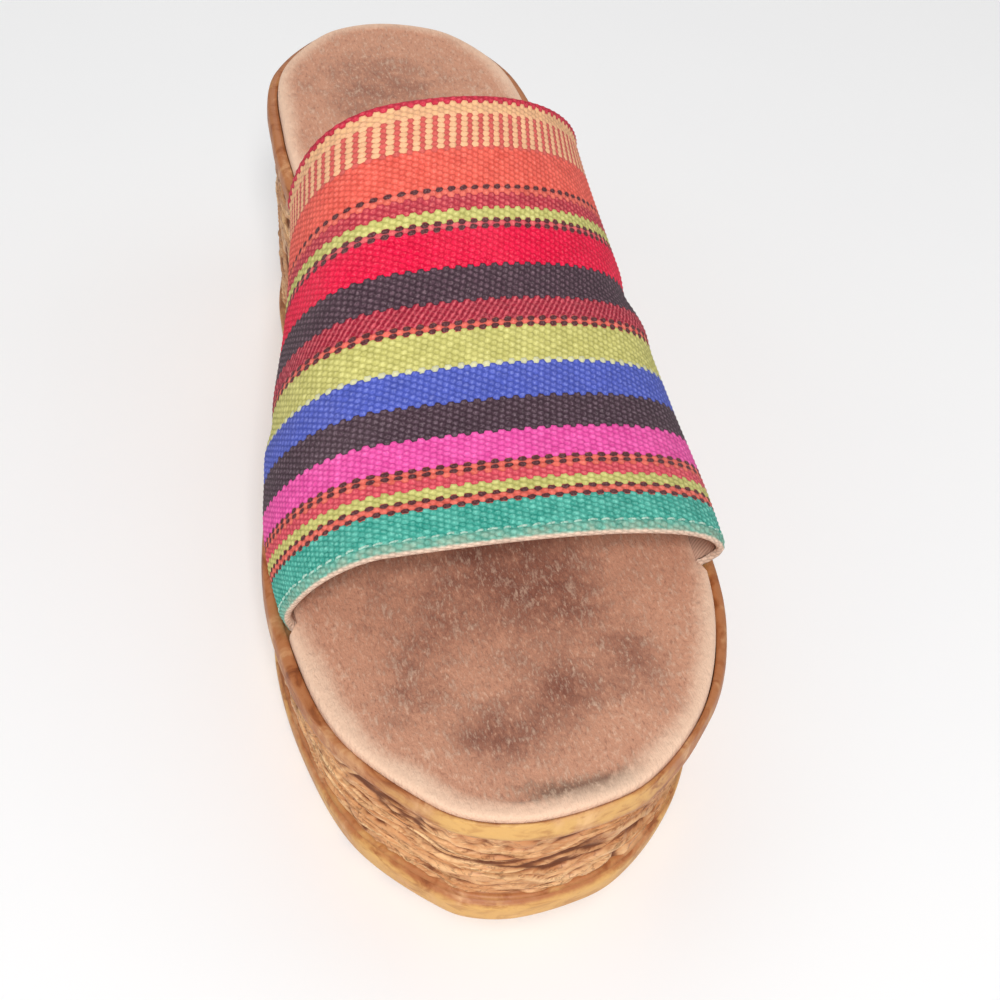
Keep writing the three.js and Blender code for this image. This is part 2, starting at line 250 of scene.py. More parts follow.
def laid_round(name: str, rings: Array, values: dict[str, Array]) -> Object:
    """Lays rings round the shoe as one closed piece.

    Args:
        name: Name of the piece.
        rings: Rings by columns by three, in millimetres from the toe tip.
        values: Numbers that its material reads, by name, rings by columns.

    Returns:
        The piece, welded and smooth.
    """
    piece = laid_grid(name, joined(rings))
    for label, numbers in values.items():
        set_values(piece, label, joined(numbers))
    count, columns = rings.shape[:2]
    set_uv(piece, *np.meshgrid(np.linspace(0, 1, columns + 1), np.linspace(0, 1, count)))
    weld(piece)
    shade(piece)
    return piece


def mesh_of(name: str, points: Array, faces: list[Sequence[int]]) -> Object:
    """Makes a piece of many small closed forms from arrays.

    Args:
        name: Name of the piece.
        points: Vertices in millimetres from the toe tip.
        faces: Vertex numbers of each face.

    Returns:
        The new object.
    """
    mesh = bpy.data.meshes.new(name)
    mesh.from_pydata(to_frame(points).tolist(), [], faces)
    mesh.update()
    piece = bpy.data.objects.new(name, mesh)
    bpy.context.collection.objects.link(piece)
    return piece


def set_values(piece: Object, name: str, values: Array) -> None:
    """Stores one number for each vertex as an attribute that materials read."""
    layer = piece.data.attributes.new(name, "FLOAT", "POINT")
    layer.data.foreach_set("value", np.ascontiguousarray(values, dtype=np.float32).reshape(-1))


def set_uv(piece: Object, across: Array, along: Array) -> None:
    """Gives each corner the place of its vertex on the flat piece."""
    mesh = piece.data
    while mesh.uv_layers:
        mesh.uv_layers.remove(mesh.uv_layers[0])
    layer = mesh.uv_layers.new(name="flat")
    index = np.empty(len(mesh.loops), dtype=np.int32)
    mesh.loops.foreach_get("vertex_index", index)
    flat = np.stack([across.reshape(-1)[index], along.reshape(-1)[index]], axis=1)
    layer.data.foreach_set("uv", flat.astype(np.float32).reshape(-1))


def weld(piece: Object, gap: float = 0.00001) -> None:
    """Merges vertices that lie on each other and turns every face outwards."""
    pick_out(piece)
    bpy.ops.object.mode_set(mode="EDIT")
    bpy.ops.mesh.select_all(action="SELECT")
    bpy.ops.mesh.remove_doubles(threshold=gap)
    bpy.ops.mesh.normals_make_consistent(inside=False)
    bpy.ops.object.mode_set(mode="OBJECT")


def shade(piece: Object) -> None:
    """Smooth shading all over."""
    piece.data.polygons.foreach_set("use_smooth", np.ones(len(piece.data.polygons), dtype=bool))
    piece.data.update()


def surface_normals(grid: Array) -> Array:
    """Unit normals of a grid of points, rows running along and columns across."""
    along = np.gradient(grid, axis=0)
    across = np.gradient(grid, axis=1)
    return unit(np.cross(along, across))


def spline_rows(rows: Array, steps: Sequence[int]) -> Array:
    """Puts rounded rows between given rows of points.

    Args:
        rows: The given rows, rows by columns by three.
        steps: How many steps each stretch between two rows gets.

    Returns:
        All rows, the given ones among them.
    """
    made = [rows[:1]]
    last = len(rows) - 1
    for i, count in enumerate(steps):
        before, start = rows[max(0, i - 1)], rows[i]
        end, after = rows[i + 1], rows[min(last, i + 2)]
        reach = np.linalg.norm(end - start, axis=-1, keepdims=True)
        lead, trail = (way * reach / (np.linalg.norm(way, axis=-1, keepdims=True) + 1e-9)
                       for way in (end - before, after - start))
        for k in range(1, count + 1):
            t = k / count
            made.append((start * (2 * t**3 - 3 * t**2 + 1) + lead * (t**3 - 2 * t**2 + t)
                         + end * (3 * t**2 - 2 * t**3) + trail * (t**3 - t**2))[None])
    return np.concatenate(made)


# The last: outline, top line and underside


@dataclass(frozen=True)
class Station:
    """Half widths of the insole at one place along it, as shares of the named width."""

    along: float
    of: str
    lateral: float
    medial: float


STATIONS = (
    Station(0.01, "ball", 0.130, 0.150), Station(0.03, "ball", 0.246, 0.222),
    Station(0.10, "ball", 0.411, 0.370), Station(0.20, "ball", 0.512, 0.446),
    Station(0.31, "ball", 0.533, 0.467), Station(0.42, "ball", 0.497, 0.418),
    Station(0.54, "waist", 0.630, 0.489), Station(0.66, "waist", 0.557, 0.437),
    Station(0.78, "heel", 0.519, 0.477), Station(0.90, "heel", 0.454, 0.450),
    Station(0.97, "heel", 0.292, 0.282), Station(0.99, "heel", 0.170, 0.180),
)


@dataclass
class Last:
    """The shape that the foot gives the shoe, in millimetres from the toe tip."""

    SHIFT = np.array([-3.0728, -125.0004, 0.0])

    length: float = 250.0
    widths: dict[str, float] = field(
        default_factory=lambda: {"ball": 92.0, "waist": 64.0, "heel": 64.0})
    forefoot_height: float = 39.5
    heel_height: float = 72.5
    top_spring: float = 2.5
    toe_spring: float = 2.0
    arch_lift: float = 1.5
    toe_tip_in: float = 0.030
    heel_tip_in: float = 0.015
    rise: tuple[float, float] = (0.27, 0.81)
    spring_to: float = 0.26
    arch: tuple[float, float] = (0.42, 0.68)
    samples: int = 60

    def __post_init__(self) -> None:
        """Samples the outline once, finely."""
        self.curve = self.sample_outline()

    def share(self, y: Array) -> Array:
        """Place along the insole from toe to heel, 0 to 1."""
        return np.clip(y / self.length, 0.0, 1.0)

    def toe_fade(self, y: Array, to: float) -> Array:
        """One at the toe tip, none from the given share of the length on."""
        return np.maximum(0.0, 1.0 - self.share(y) / to) ** 2

    def top(self, y: Array) -> Array:
        """Height of the insole's edge over the floor."""
        rise = smooth(self.share(y), *self.rise)
        spring = self.top_spring * self.toe_fade(y, self.spring_to)
        return lerp(self.forefoot_height, self.heel_height, rise) + spring

    def foot(self, y: Array) -> Array:
        """Height of the underside over the floor."""
        start, end = self.arch
        arch = np.clip((self.share(y) - start) / (end - start), 0.0, 1.0)
        spring = self.toe_spring * self.toe_fade(y, self.spring_to)
        return spring + self.arch_lift * np.sin(np.pi * arch) ** 2

    def stations(self) -> Array:
        """Points of the outline: toe tip, outer side, heel tip, inner side."""
        outer = [(row.lateral * self.widths[row.of], row.along * self.length) for row in STATIONS]
        inner = [(-row.medial * self.widths[row.of], row.along * self.length) for row in STATIONS]
        toe = (-self.toe_tip_in * self.widths["ball"], 0.0)
        heel = (-self.heel_tip_in * self.widths["heel"], self.length)
        return np.array([toe, *outer, heel, *reversed(inner)])

    def sample_outline(self) -> Array:
        """Closed centripetal spline through the stations.

        Returns:
            Points round the outline, from the toe tip over the outer side.
        """
        points = self.stations()
        count = len(points)
        weight = np.linspace(0.0, 1.0, self.samples, endpoint=False)[:, None]
        made = []
        for i in range(count):
            p0, p1, p2, p3 = (points[(i + k) % count] for k in (-1, 0, 1, 2))
            steps = ((p0, p1), (p1, p2), (p2, p3))
            d0, d1, d2 = (math.sqrt(np.linalg.norm(b - a)) for a, b in steps)
            t1 = ((p1 - p0) / d0 - (p2 - p0) / (d0 + d1) + (p2 - p1) / d1) * d1
            t2 = ((p2 - p1) / d1 - (p3 - p1) / (d1 + d2) + (p3 - p2) / d2) * d1
            made.append(p1 + weight * t1 + weight**2 * (-3 * p1 + 3 * p2 - 2 * t1 - t2)
                        + weight**3 * (2 * p1 - 2 * p2 + t1 + t2))
        return np.concatenate(made)

    def around(self, count: int) -> "Outline":
        """Even steps round the outline, as many on the outer side as on the inner side."""
        half = len(self.curve) // 2
        outer = even_steps(self.curve[:half + 1], count // 2)
        inner = even_steps(np.concatenate([self.curve[half:], self.curve[:1]]), count // 2)
        points = np.concatenate([outer[:-1], inner[:-1]])
        along = unit(np.roll(points, -1, axis=0) - np.roll(points, 1, axis=0))
        out = np.stack([along[:, 1], -along[:, 0]], axis=1)
        return Outline(points, out, np.arange(count) / count)

    def edge(self, side: int, y: Array) -> Array:
        """Place across of the outline on one side, 1 outer or -1 inner."""
        half = self.curve[self.curve[:, 0] * side > 0]
        order = np.argsort(half[:, 1])
        return np.interp(y, half[order, 1], half[order, 0])


def even_steps(points: Array, count: int) -> Array:
    """Resamples a line of points into even steps, both ends kept."""
    reach = reach_of(points)
    return read_at(np.linspace(0.0, reach[-1], count + 1), reach, points)


@dataclass
class Outline:
    """Points round the insole with their outward directions; point i faces point count - i."""

    points: Array
    out: Array
    turn: Array

    def ring(self, offset: Array, height: Callable[[Array], Array]) -> Array:
        """A ring beside the outline.

        Args:
            offset: Distance outwards of each point.
            height: Height over the floor as a function of the place along the shoe.

        Returns:
            The ring's points.
        """
        flat = self.points + self.out * np.broadcast_to(offset, self.turn.shape)[:, None]
        return np.column_stack([flat, height(flat[:, 1])])

    def closing(self, ring: Array, steps: int, height: Callable[..., Array]) -> list[Array]:
        """Rings that shrink from a ring to the line down its middle.

        Args:
            ring: The ring to close.
            steps: How many rings.
            height: Height from the place along, the share across and the width there.

        Returns:
            The rings, the last of them closed on itself.
        """
        facing = np.roll(ring[::-1], 1, axis=0)
        wide = np.linalg.norm(facing[:, :2] - ring[:, :2], axis=1)
        made = []
        for k in range(1, steps + 1):
            share = 0.5 * k / steps
            flat = lerp(ring[:, :2], facing[:, :2], share)
            level = height(flat[:, 1], np.full(len(flat), share), wide)
            made.append(np.column_stack([flat, level]))
        return made


# Node trees


class Channel:
    """One shader value; sums and products with it add the Math nodes."""

    def __init__(self, recipe: "Recipe", socket: Socket) -> None:
        """Wraps an output socket of a recipe's node."""
        self.recipe = recipe
        self.socket = socket

    def maths(self, operation: str, *others: Number) -> "Channel":
        """Adds a Math node on this value and the others."""
        made = self.recipe.node("ShaderNodeMath", {"operation": operation},
                                {i: value for i, value in enumerate((self, *others))})
        return Channel(self.recipe, made.outputs[0])

    __add__ = __radd__ = partialmethod(maths, "ADD")
    __mul__ = __rmul__ = partialmethod(maths, "MULTIPLY")
    __sub__ = partialmethod(maths, "SUBTRACT")
    __truediv__ = partialmethod(maths, "DIVIDE")
    __abs__ = partialmethod(maths, "ABSOLUTE")

    def __rsub__(self, other: float) -> "Channel":
        """A number less this value."""
        return (self * -1.0) + other

    def over(self, other: Number) -> "Channel":
        """One where this value is greater than the other, else none."""
        return self.maths("GREATER_THAN", other)

    def step(self, start: float, end: float) -> "Channel":
        """Zero up to start, one from end on, with a soft step between."""
        made = self.recipe.node("ShaderNodeMapRange", {"interpolation_type": "SMOOTHSTEP"},
                                {0: self, 1: start, 2: end, 3: 0.0, 4: 1.0})
        return Channel(self.recipe, made.outputs[0])


class Recipe:
    """Builds one material's nodes."""

    def __init__(self, name: str) -> None:
        """Makes the material with its shader and output."""
        self.material = bpy.data.materials.new(name)
        self.material.use_nodes = True
        self.tree = self.material.node_tree
        self.tree.nodes.clear()
        output = self.tree.nodes.new("ShaderNodeOutputMaterial")
        self.shader = self.tree.nodes.new("ShaderNodeBsdfPrincipled")
        self.tree.links.new(self.shader.outputs[0], output.inputs["Surface"])

    def plug(self, socket: Socket, value: object) -> None:
        """Sets a socket to a number or colour, or links it to a value or node output."""
        if isinstance(value, Channel):
            self.tree.links.new(value.socket, socket)
        elif isinstance(value, Socket):
            self.tree.links.new(value, socket)
        else:
            socket.default_value = value

    def node(self, kind: str, settings: dict, inputs: dict) -> bpy.types.Node:
        """Adds a node.

        Args:
            kind: Type of the node.
            settings: Settings of the node, set first.
            inputs: Values or links of its sockets by name or number.

        Returns:
            The node.
        """
        made = self.tree.nodes.new(kind)
        for name, value in settings.items():
            setattr(made, name, value)
        for name, value in inputs.items():
            self.plug(made.inputs[name], value)
        return made

    def attribute(self, name: str) -> Channel:
        """A vertex value of the piece."""
        made = self.node("ShaderNodeAttribute", {"attribute_name": name}, {})
        return Channel(self, made.outputs["Fac"])

    def flat(self) -> tuple[Channel, Channel]:
        """Place on the flat piece: across and along."""
        uv = self.node("ShaderNodeUVMap", {"uv_map": "flat"}, {}).outputs[0]
        split = self.node("ShaderNodeSeparateXYZ", {}, {0: uv})
        return Channel(self, split.outputs[0]), Channel(self, split.outputs[1])

    def place(self, stretch: Triple = (1.0, 1.0, 1.0)) -> Socket:
        """Place in the object in metres, stretched along each direction."""
        at = self.node("ShaderNodeTexCoord", {}, {}).outputs["Object"]
        return self.node("ShaderNodeMapping", {}, {"Vector": at, "Scale": stretch}).outputs[0]

    def noise(self, at: Socket, scale: float, detail: float = 3.0,
              rough: float = 0.55, warp: float = 0.0) -> Channel:
        """Cloudy noise from 0 to 1.

        Args:
            at: Where it is read.
            scale: Cells to a unit of length.
            detail: Number of finer layers.
            rough: Strength of the finer layers.
            warp: How far it folds into itself.

        Returns:
            The value.
        """
        made = self.node("ShaderNodeTexNoise", {}, {"Vector": at, "Scale": scale, "Detail": detail,
                                                    "Roughness": rough, "Distortion": warp})
        return Channel(self, made.outputs["Fac"])

    def mix(self, first: object, second: object, share: Number) -> Socket:
        """Mixes two colours; share is how much of the second."""
        made = self.node("ShaderNodeMix", {"data_type": "RGBA"}, {0: share, 6: first, 7: second})
        return made.outputs[2]

    def dyed(self, base: object, *coats: tuple[Colour, Number]) -> Socket:
        """A colour under coats of dye, each a colour picked on screen and how much it covers."""
        colour = base if isinstance(base, Socket) else srgb(*base)
        for dye, share in coats:
            colour = self.mix(colour, srgb(*dye), share)
        return colour

    def scaled(self, colour: object, share: Number) -> Socket:
        """A colour made darker or lighter by a factor."""
        return self.node("ShaderNodeVectorMath", {"operation": "SCALE"},
                         {0: colour, "Scale": share}).outputs[0]

    def ramp(self, value: Number, stops: Sequence[tuple[float, tuple]]) -> Socket:
        """The colour of the last stop before each value."""
        made = self.node("ShaderNodeValToRGB", {}, {0: value})
        steps = made.color_ramp
        steps.interpolation = "CONSTANT"
        steps.elements.remove(steps.elements[-1])
        steps.elements[0].position, steps.elements[0].color = stops[0]
        for place, colour in stops[1:]:
            steps.elements.new(place).color = colour
        return made.outputs[0]

    def vector(self, *parts: Number) -> Socket:
        """Three values as one vector."""
        return self.node("ShaderNodeCombineXYZ", {}, dict(enumerate(parts))).outputs[0]

    def random(self, *parts: Number) -> Channel:
        """A random value from 0 to 1 for each set of whole numbers."""
        made = self.node("ShaderNodeTexWhiteNoise", {"noise_dimensions": "3D"},
                         {"Vector": self.vector(*parts)})
        return Channel(self, made.outputs["Value"])

    def bump(self, height: Channel, depth: float, strength: float = 1.0) -> Socket:
        """Normal of a surface raised by height times depth, in metres."""
        made = self.node("ShaderNodeBump", {}, {"Height": height, "Distance": depth,
                                                "Strength": strength})
        return made.outputs[0]

    def finish(self, **sockets: object) -> Material:
        """Sets the shader's sockets, spaces in their names given as underlines."""
        for name, value in sockets.items():
            self.plug(self.shader.inputs[name.replace("_", " ")], value)
        return self.material


# Finishes


class Look(Enum):
    """How the threads of a stripe show."""

    PLAIN = 0
    TWILL = 1
    BARS = 2
    FLECKS = 3


@dataclass(frozen=True)
class Stripe:
    """One stripe of the cloth, up to a pick counted from the front edge."""

    to: int
    colour: Colour
    second: Colour
    look: Look = Look.PLAIN


GREEN = (48, 160, 142)
LIME = (196, 190, 106)
LIME_LIGHT = (228, 222, 146)
ORANGE = (228, 98, 84)
ORANGE_LIGHT = (244, 138, 118)
CORAL = (218, 76, 92)
BRICK = (156, 32, 54)
MAGENTA = (236, 74, 162)
CHARCOAL = (72, 52, 62)
BLUE = (78, 92, 186)
CRIMSON = (234, 4, 62)
TAN = (242, 184, 140)
RED = (216, 96, 88)
DASH = (88, 44, 48)

# On plain stripes the second colour also serves as a painted highlight on the float backs.
STRIPES = (
    Stripe(15, GREEN, (140, 226, 206)),
    Stripe(19, ORANGE, ORANGE_LIGHT),
    Stripe(23, LIME, LIME_LIGHT),
    Stripe(27, CORAL, (240, 116, 120), Look.FLECKS),
    Stripe(31, ORANGE, ORANGE_LIGHT),
    Stripe(42, MAGENTA, (250, 120, 192)),
    Stripe(54, CHARCOAL, (116, 94, 106), Look.FLECKS),
    Stripe(66, BLUE, (118, 130, 210), Look.FLECKS),
    Stripe(67, (206, 206, 176), LIME_LIGHT),
    Stripe(79, LIME, LIME_LIGHT),
    Stripe(82, ORANGE, ORANGE_LIGHT),
    Stripe(89, BRICK, (216, 92, 102), Look.TWILL),
    Stripe(101, CHARCOAL, (118, 90, 102), Look.FLECKS),
    Stripe(114, CRIMSON, (242, 40, 82)),
    Stripe(117, CORAL, ORANGE_LIGHT),
    Stripe(121, LIME, LIME_LIGHT),
    Stripe(126, (190, 56, 72), (232, 112, 108), Look.FLECKS),
    Stripe(130, ORANGE, ORANGE_LIGHT),
    Stripe(144, (238, 92, 78), (248, 128, 108)),
    Stripe(158, TAN, RED, Look.BARS),
    Stripe(162, TAN, (236, 190, 130)),
    Stripe(164, (196, 44, 66), (222, 64, 84)),
)
DASH_PICKS = (15, 18, 28, 30, 79, 81, 114, 116, 127, 129)


@dataclass(frozen=True)
class Weave:
    """The lattice of threads: even picks float on whole pitches, odd picks between them."""

    pitch: float = 2.80
    picks: int = 164
    float_wide: float = 0.31
    float_tall: float = 1.06
    slant: float = 0.9
    rise: float = 0.20

    def relief(self, across: Array, along: Array) -> Array:
        """Height of the threads.

        Args:
            across: Place across the foot in pitches.
            along: Place along the foot in picks.

        Returns:
            Height from 0 in the gaps to 1 on a float's back.
        """
        even = self.dome(across - np.round(across), along - 2.0 * np.round(along / 2.0))
        odd = self.dome(across - np.floor(across) - 0.5, along - 2.0 * np.floor(along / 2.0) - 1.0)
        return np.clip(np.maximum(even, odd), 0.0, 1.0)

    def dome(self, side: Number, ahead: Number) -> Number:
        """Height of one float beside and ahead of its middle, below zero outside it."""
        wide = side / self.float_wide
        tall = (ahead + side * self.slant) / self.float_tall
        return 1.0 - (wide * wide + tall * tall)


@dataclass
class Float:
    """The thread on top at a place: its pick, the place from its middle, height and chance."""

    pick: Channel
    side: Channel
    ahead: Channel
    dome: Channel
    chance: Channel


@dataclass(frozen=True)
class ClothFinish:
    """Striped, hand-woven cotton."""

    weave: Weave = Weave()
    stripes: tuple[Stripe, ...] = STRIPES
    dash_picks: tuple[int, ...] = DASH_PICKS
    dash_gain: float = 0.22
    dash_wide: float = 0.36
    dash_tall: float = 0.92
    bar_gain: float = 0.34
    rubbed: Colour = (176, 184, 160)
    rim: Colour = (226, 196, 174)
    # Pale colour of loose fibres, laid on the float backs as a painted highlight.
    fuzz_and_highlight: tuple[float, ...] = (1.0, 0.90, 0.86, 1.0)
    dust: tuple[float, ...] = (0.60, 0.48, 0.48, 1.0)
    table: float = 255.0

    def build(self) -> Material:
        """Makes the material from the cloth's own flat places, in pitches and picks."""
        recipe = Recipe("woven_stripes")
        across, along = recipe.flat()
        across, along = self.loosened(recipe, across, along)
        thread = self.top_thread(recipe, across, along)
        base = self.chart(recipe, thread.pick, lambda stripe: srgb(*stripe.colour))
        second = self.chart(recipe, thread.pick, lambda stripe: srgb(*stripe.second))
        colour = recipe.mix(base, second, self.second_share(recipe, thread, across, along))
        wide, tall = thread.side / self.dash_wide, thread.ahead / self.dash_tall
        lens = (1.0 - (wide * wide + tall * tall)).step(-0.30, 0.40)
        colour = recipe.dyed(colour, (DASH, self.dashes(recipe, thread.pick) * lens))
        return self.dress(recipe, self.edged(recipe, colour, along), thread)

    def loosened(self, recipe: Recipe, across: Channel, along: Channel) -> tuple[Channel, Channel]:
        """The flat places, a little off, so that no two floats are alike."""
        aside = recipe.noise(recipe.vector(across * 2.3, along * 0.9, 3.0), 1.0, 1.0)
        ahead = recipe.noise(recipe.vector(across * 2.3, along * 0.9, 9.0), 1.0, 1.0)
        return across + (aside - 0.5) * 0.16, along + (ahead - 0.5) * 0.9

    def place_of(self, pick: Channel) -> Channel:
        """A pick as a place on a colour ramp, one step of its table for each pick."""
        return (pick + 0.5) / self.table

    def stop(self, pick: int) -> float:
        """Where on the ramp the colour of a pick starts, between two steps of its table."""
        return max(0.0, 0.5 * ((pick - 1) / self.table + pick / (self.table + 1.0)))

    def chart(self, recipe: Recipe, pick: Channel,
              colour_of: Callable[[Stripe], tuple]) -> Socket:
        """A colour for each stripe, read at a pick."""
        starts = [self.stop(start) for start in (0, *(stripe.to for stripe in self.stripes[:-1]))]
        return recipe.ramp(self.place_of(pick), list(zip(starts, map(colour_of, self.stripes))))

    def weight(self, recipe: Recipe, pick: Channel, look: Look) -> Channel:
        """One on the stripes of a look, else none."""
        def white(stripe: Stripe) -> tuple:
            return WHITE if stripe.look is look else BLACK

        return Channel(recipe, self.chart(recipe, pick, white))

    def dashes(self, recipe: Recipe, pick: Channel) -> Channel:
        """One on the dark picks that draw the rows of dashes, else none."""
        stops = [(0.0, BLACK)]
        for dark in self.dash_picks:
            stops += [(self.stop(dark), WHITE), (self.stop(dark + 1), BLACK)]
        return Channel(recipe, recipe.ramp(self.place_of(pick), stops))

    def top_thread(self, recipe: Recipe, across: Channel, along: Channel) -> Float:
        """Finds the float on top at a place, as Weave.relief does.

        Args:
            recipe: The material's nodes.
            across: Place across in pitches.
            along: Place along in picks.

        Returns:
            The float.
        """
        even_side = across - across.maths("ROUND")
        odd_side = across.maths("FRACT") - 0.5
        even_pick = (along * 0.5).maths("ROUND") * 2.0
        odd_pick = (along * 0.5).maths("FLOOR") * 2.0 + 1.0
        even = self.weave.dome(even_side, along - even_pick)
        odd = self.weave.dome(odd_side, along - odd_pick)
        bars = self.weight(recipe, even_pick, Look.BARS) * self.bar_gain
        even_gain = self.dashes(recipe, even_pick) * self.dash_gain + bars
        odd_gain = self.dashes(recipe, odd_pick) * self.dash_gain
        wins = (even + even_gain).over(odd + odd_gain)
        pick = odd_pick + (even_pick - odd_pick) * wins
        side = odd_side + (even_side - odd_side) * wins
        column = ((across - side) * 2.0).maths("ROUND")
        dome = (even + even_gain).maths("MAXIMUM", odd + odd_gain)
        return Float(pick, side, along - pick, dome, recipe.random(column, pick, 0.0))

    def second_share(self, recipe: Recipe, thread: Float, across: Channel,
                     along: Channel) -> Channel:
        """How much of a stripe's second colour shows at a place.

        Args:
            recipe: The material's nodes.
            thread: The float on top.
            across: Place across in pitches.
            along: Place along in picks.

        Returns:
            The share, 0 to 1.
        """
        hairs = recipe.noise(recipe.vector(across * 5.0, along * 0.8, thread.chance), 1.0, 2.0)
        slope = (across * 2.0 - along * 0.27 + hairs * 0.5).maths("FRACT")
        twill = (1.0 - abs(slope - 0.5).step(0.06, 0.34)) * (hairs * 0.8 + 0.45)
        bars = thread.pick.maths("FLOORED_MODULO", 2.0)
        flecks = thread.dome.step(0.30, 1.05) * hairs.step(0.32, 0.66) * 0.8
        # Plain stripes: the second colour on random floats, and as a painted highlight on the float
        # backs.
        plain = thread.chance * 0.25 + thread.dome.step(0.35, 1.0) * hairs.step(0.35, 0.65) * 0.45
        shares = ((Look.TWILL, twill), (Look.BARS, bars), (Look.FLECKS, flecks),
                  (Look.PLAIN, plain))
        total = sum(self.weight(recipe, thread.pick, look) * share for look, share in shares)
        return total.maths("MINIMUM", 1.0)

    def edged(self, recipe: Recipe, colour: Socket, along: Channel) -> Socket:
        """Rubbed threads in front of the stitch and the pale lining's edge round the front.

        Args:
            recipe: The material's nodes.
            colour: Colour of the dyed thread.
            along: Place along in picks.

        Returns:
            The colour with both.
        """
        rub = recipe.noise(recipe.place(), 420.0, 4.0, 0.6)
        rubbed = (1.0 - along.step(1.4, 4.6)) * (rub.step(0.36, 0.64) * 0.40 + 0.22)
        front = 1.0 - along.step(-0.7, 0.5)
        return recipe.dyed(colour, (self.rubbed, rubbed), (self.rim, front))

    def dress(self, recipe: Recipe, colour: Socket, thread: Float) -> Material:
        """Paints shade into the gaps between floats and a highlight on their backs, with fuzzy
        fibres and a little dust.

        Args:
            recipe: The material's nodes.
            colour: Colour of the dyed thread.
            thread: The float on top.

        Returns:
            The finished material.
        """
        place = recipe.place()
        fuzz_and_highlight = recipe.noise(place, 2600.0, 2.0, 0.6)
        cloud = recipe.noise(place, 38.0, 3.0, 0.5)
        worn = recipe.noise(place, 260.0, 3.0, 0.6)
        body = thread.dome.maths("MAXIMUM", 0.0).maths("MINIMUM", 1.0)
        # Painted shade and light: darker in the gaps, brighter on the float backs, with fuzzy
        # fibres and random tone on top.
        tone = body * 0.29 + 0.78 + (fuzz_and_highlight - 0.5) * 0.30 + (thread.chance - 0.5) * 0.14
        shaded = recipe.scaled(colour, tone + (worn - 0.5) * 0.30)
        # Painted highlight: the pale fibre colour mixed onto the float backs.
        lit = recipe.mix(shaded, self.fuzz_and_highlight, body * fuzz_and_highlight.step(0.42, 0.78) * 0.10)
        faded = recipe.mix(lit, self.dust, cloud.step(0.45, 0.8) * 0.04)
        height = body * 0.8 + fuzz_and_highlight * 0.6
        return recipe.finish(Base_Color=faded, Roughness=0.94, Sheen_Weight=0.03,
                             Sheen_Roughness=0.6, Specular_IOR_Level=0.10,
                             Normal=recipe.bump(height, 0.00020, 0.85))


@dataclass(frozen=True)
class LiningFinish:
    """Fine pale drill under the woven cloth."""

    colour: Colour = (206, 168, 146)
    dark: Colour = (150, 108, 92)

    def build(self) -> Material:
        """Makes the material."""
        recipe = Recipe("band_lining")
        across, along = recipe.flat()
        twill = ((across * 3.0 + along * 1.5) * math.pi).maths("SINE") * 0.5 + 0.5
        cloud = recipe.noise(recipe.place(), 60.0, 4.0)
        colour = recipe.dyed(self.colour, (self.dark, twill * 0.3 + cloud.step(0.5, 0.8) * 0.4))
        return recipe.finish(Base_Color=colour, Roughness=0.9, Specular_IOR_Level=0.2,
                             Normal=recipe.bump(twill + cloud, 0.00012, 0.7))


@dataclass(frozen=True)
class ThreadFinish:
    """Off-white sewing thread."""

    colour: Colour = (184, 214, 198)
    shade: Colour = (96, 156, 138)

    def build(self) -> Material:
        """Makes the material."""
        recipe = Recipe("sewing_thread")
        place = recipe.place()
        ply = recipe.noise(place, 2200.0, 2.0)
        colour = recipe.dyed(self.colour, (self.shade, ply.step(0.42, 0.66) * 0.7))
        return recipe.finish(Base_Color=colour, Roughness=0.7,
                             Normal=recipe.bump(ply, 0.0001, 0.6))


@dataclass(frozen=True)
class SuedeFinish:
    """Warm brown suede, brushed along the foot, pale at its edge and dark where toes stood, with
    sooty smudges and painted shadow near the toe.
    """

    base: Colour = (206, 150, 122)
    pale: Colour = (246, 212, 184)
    deep: Colour = (118, 66, 54)
    soot_and_shadow: Colour = (104, 82, 68)

    def build(self) -> Material:
        """Makes the material."""
        recipe = Recipe("worn_suede")
        place = recipe.place()
        brushed = recipe.place((1.0, 0.34, 1.0))
        edge, wear, soot_and_shadow = (recipe.attribute(name) for name in ("edge", "wear", "soot_and_shadow"))
        cloud = recipe.noise(place, 34.0, 4.0, 0.6, 0.3)
        patch = recipe.noise(place, 150.0, 4.0, 0.65, 0.2)
        nap = recipe.noise(brushed, 950.0, 3.0, 0.7)
        hair = recipe.noise(brushed, 1700.0, 2.0, 0.6)
        depth = wear + (cloud - 0.5) * 1.2 + (patch - 0.5) * 1.1 + (nap - 0.5) * 1.0
        rubbed = 1.0 - (edge + wear * 3.0 + (nap - 0.5) * 5.0 + (cloud - 0.5) * 7.0).step(0.6, 6.0)
        colour = recipe.dyed(
            self.base,
            (self.deep, depth.step(0.0, 1.0) * 0.92),
            # Sooty smudges and painted shadow, where their table puts them.
            (self.soot_and_shadow, (soot_and_shadow + (nap - 0.5) * 1.2).step(0.2, 1.0) * 0.75),
            (self.pale, (nap + (patch - 0.5) * 0.5).step(0.50, 0.74) * 0.42),
            (self.pale, hair.step(0.56, 0.72) * 0.34),
            (self.deep, (1.0 - hair.step(0.28, 0.44)) * 0.34),
            (self.pale, rubbed * 0.74))
        height = nap + hair * 0.6 + patch * 0.8
        return recipe.finish(Base_Color=colour, Roughness=0.96, Sheen_Weight=0.10,
                             Sheen_Roughness=0.5, Specular_IOR_Level=0.10,
                             Normal=recipe.bump(height, 0.00045, 0.9))


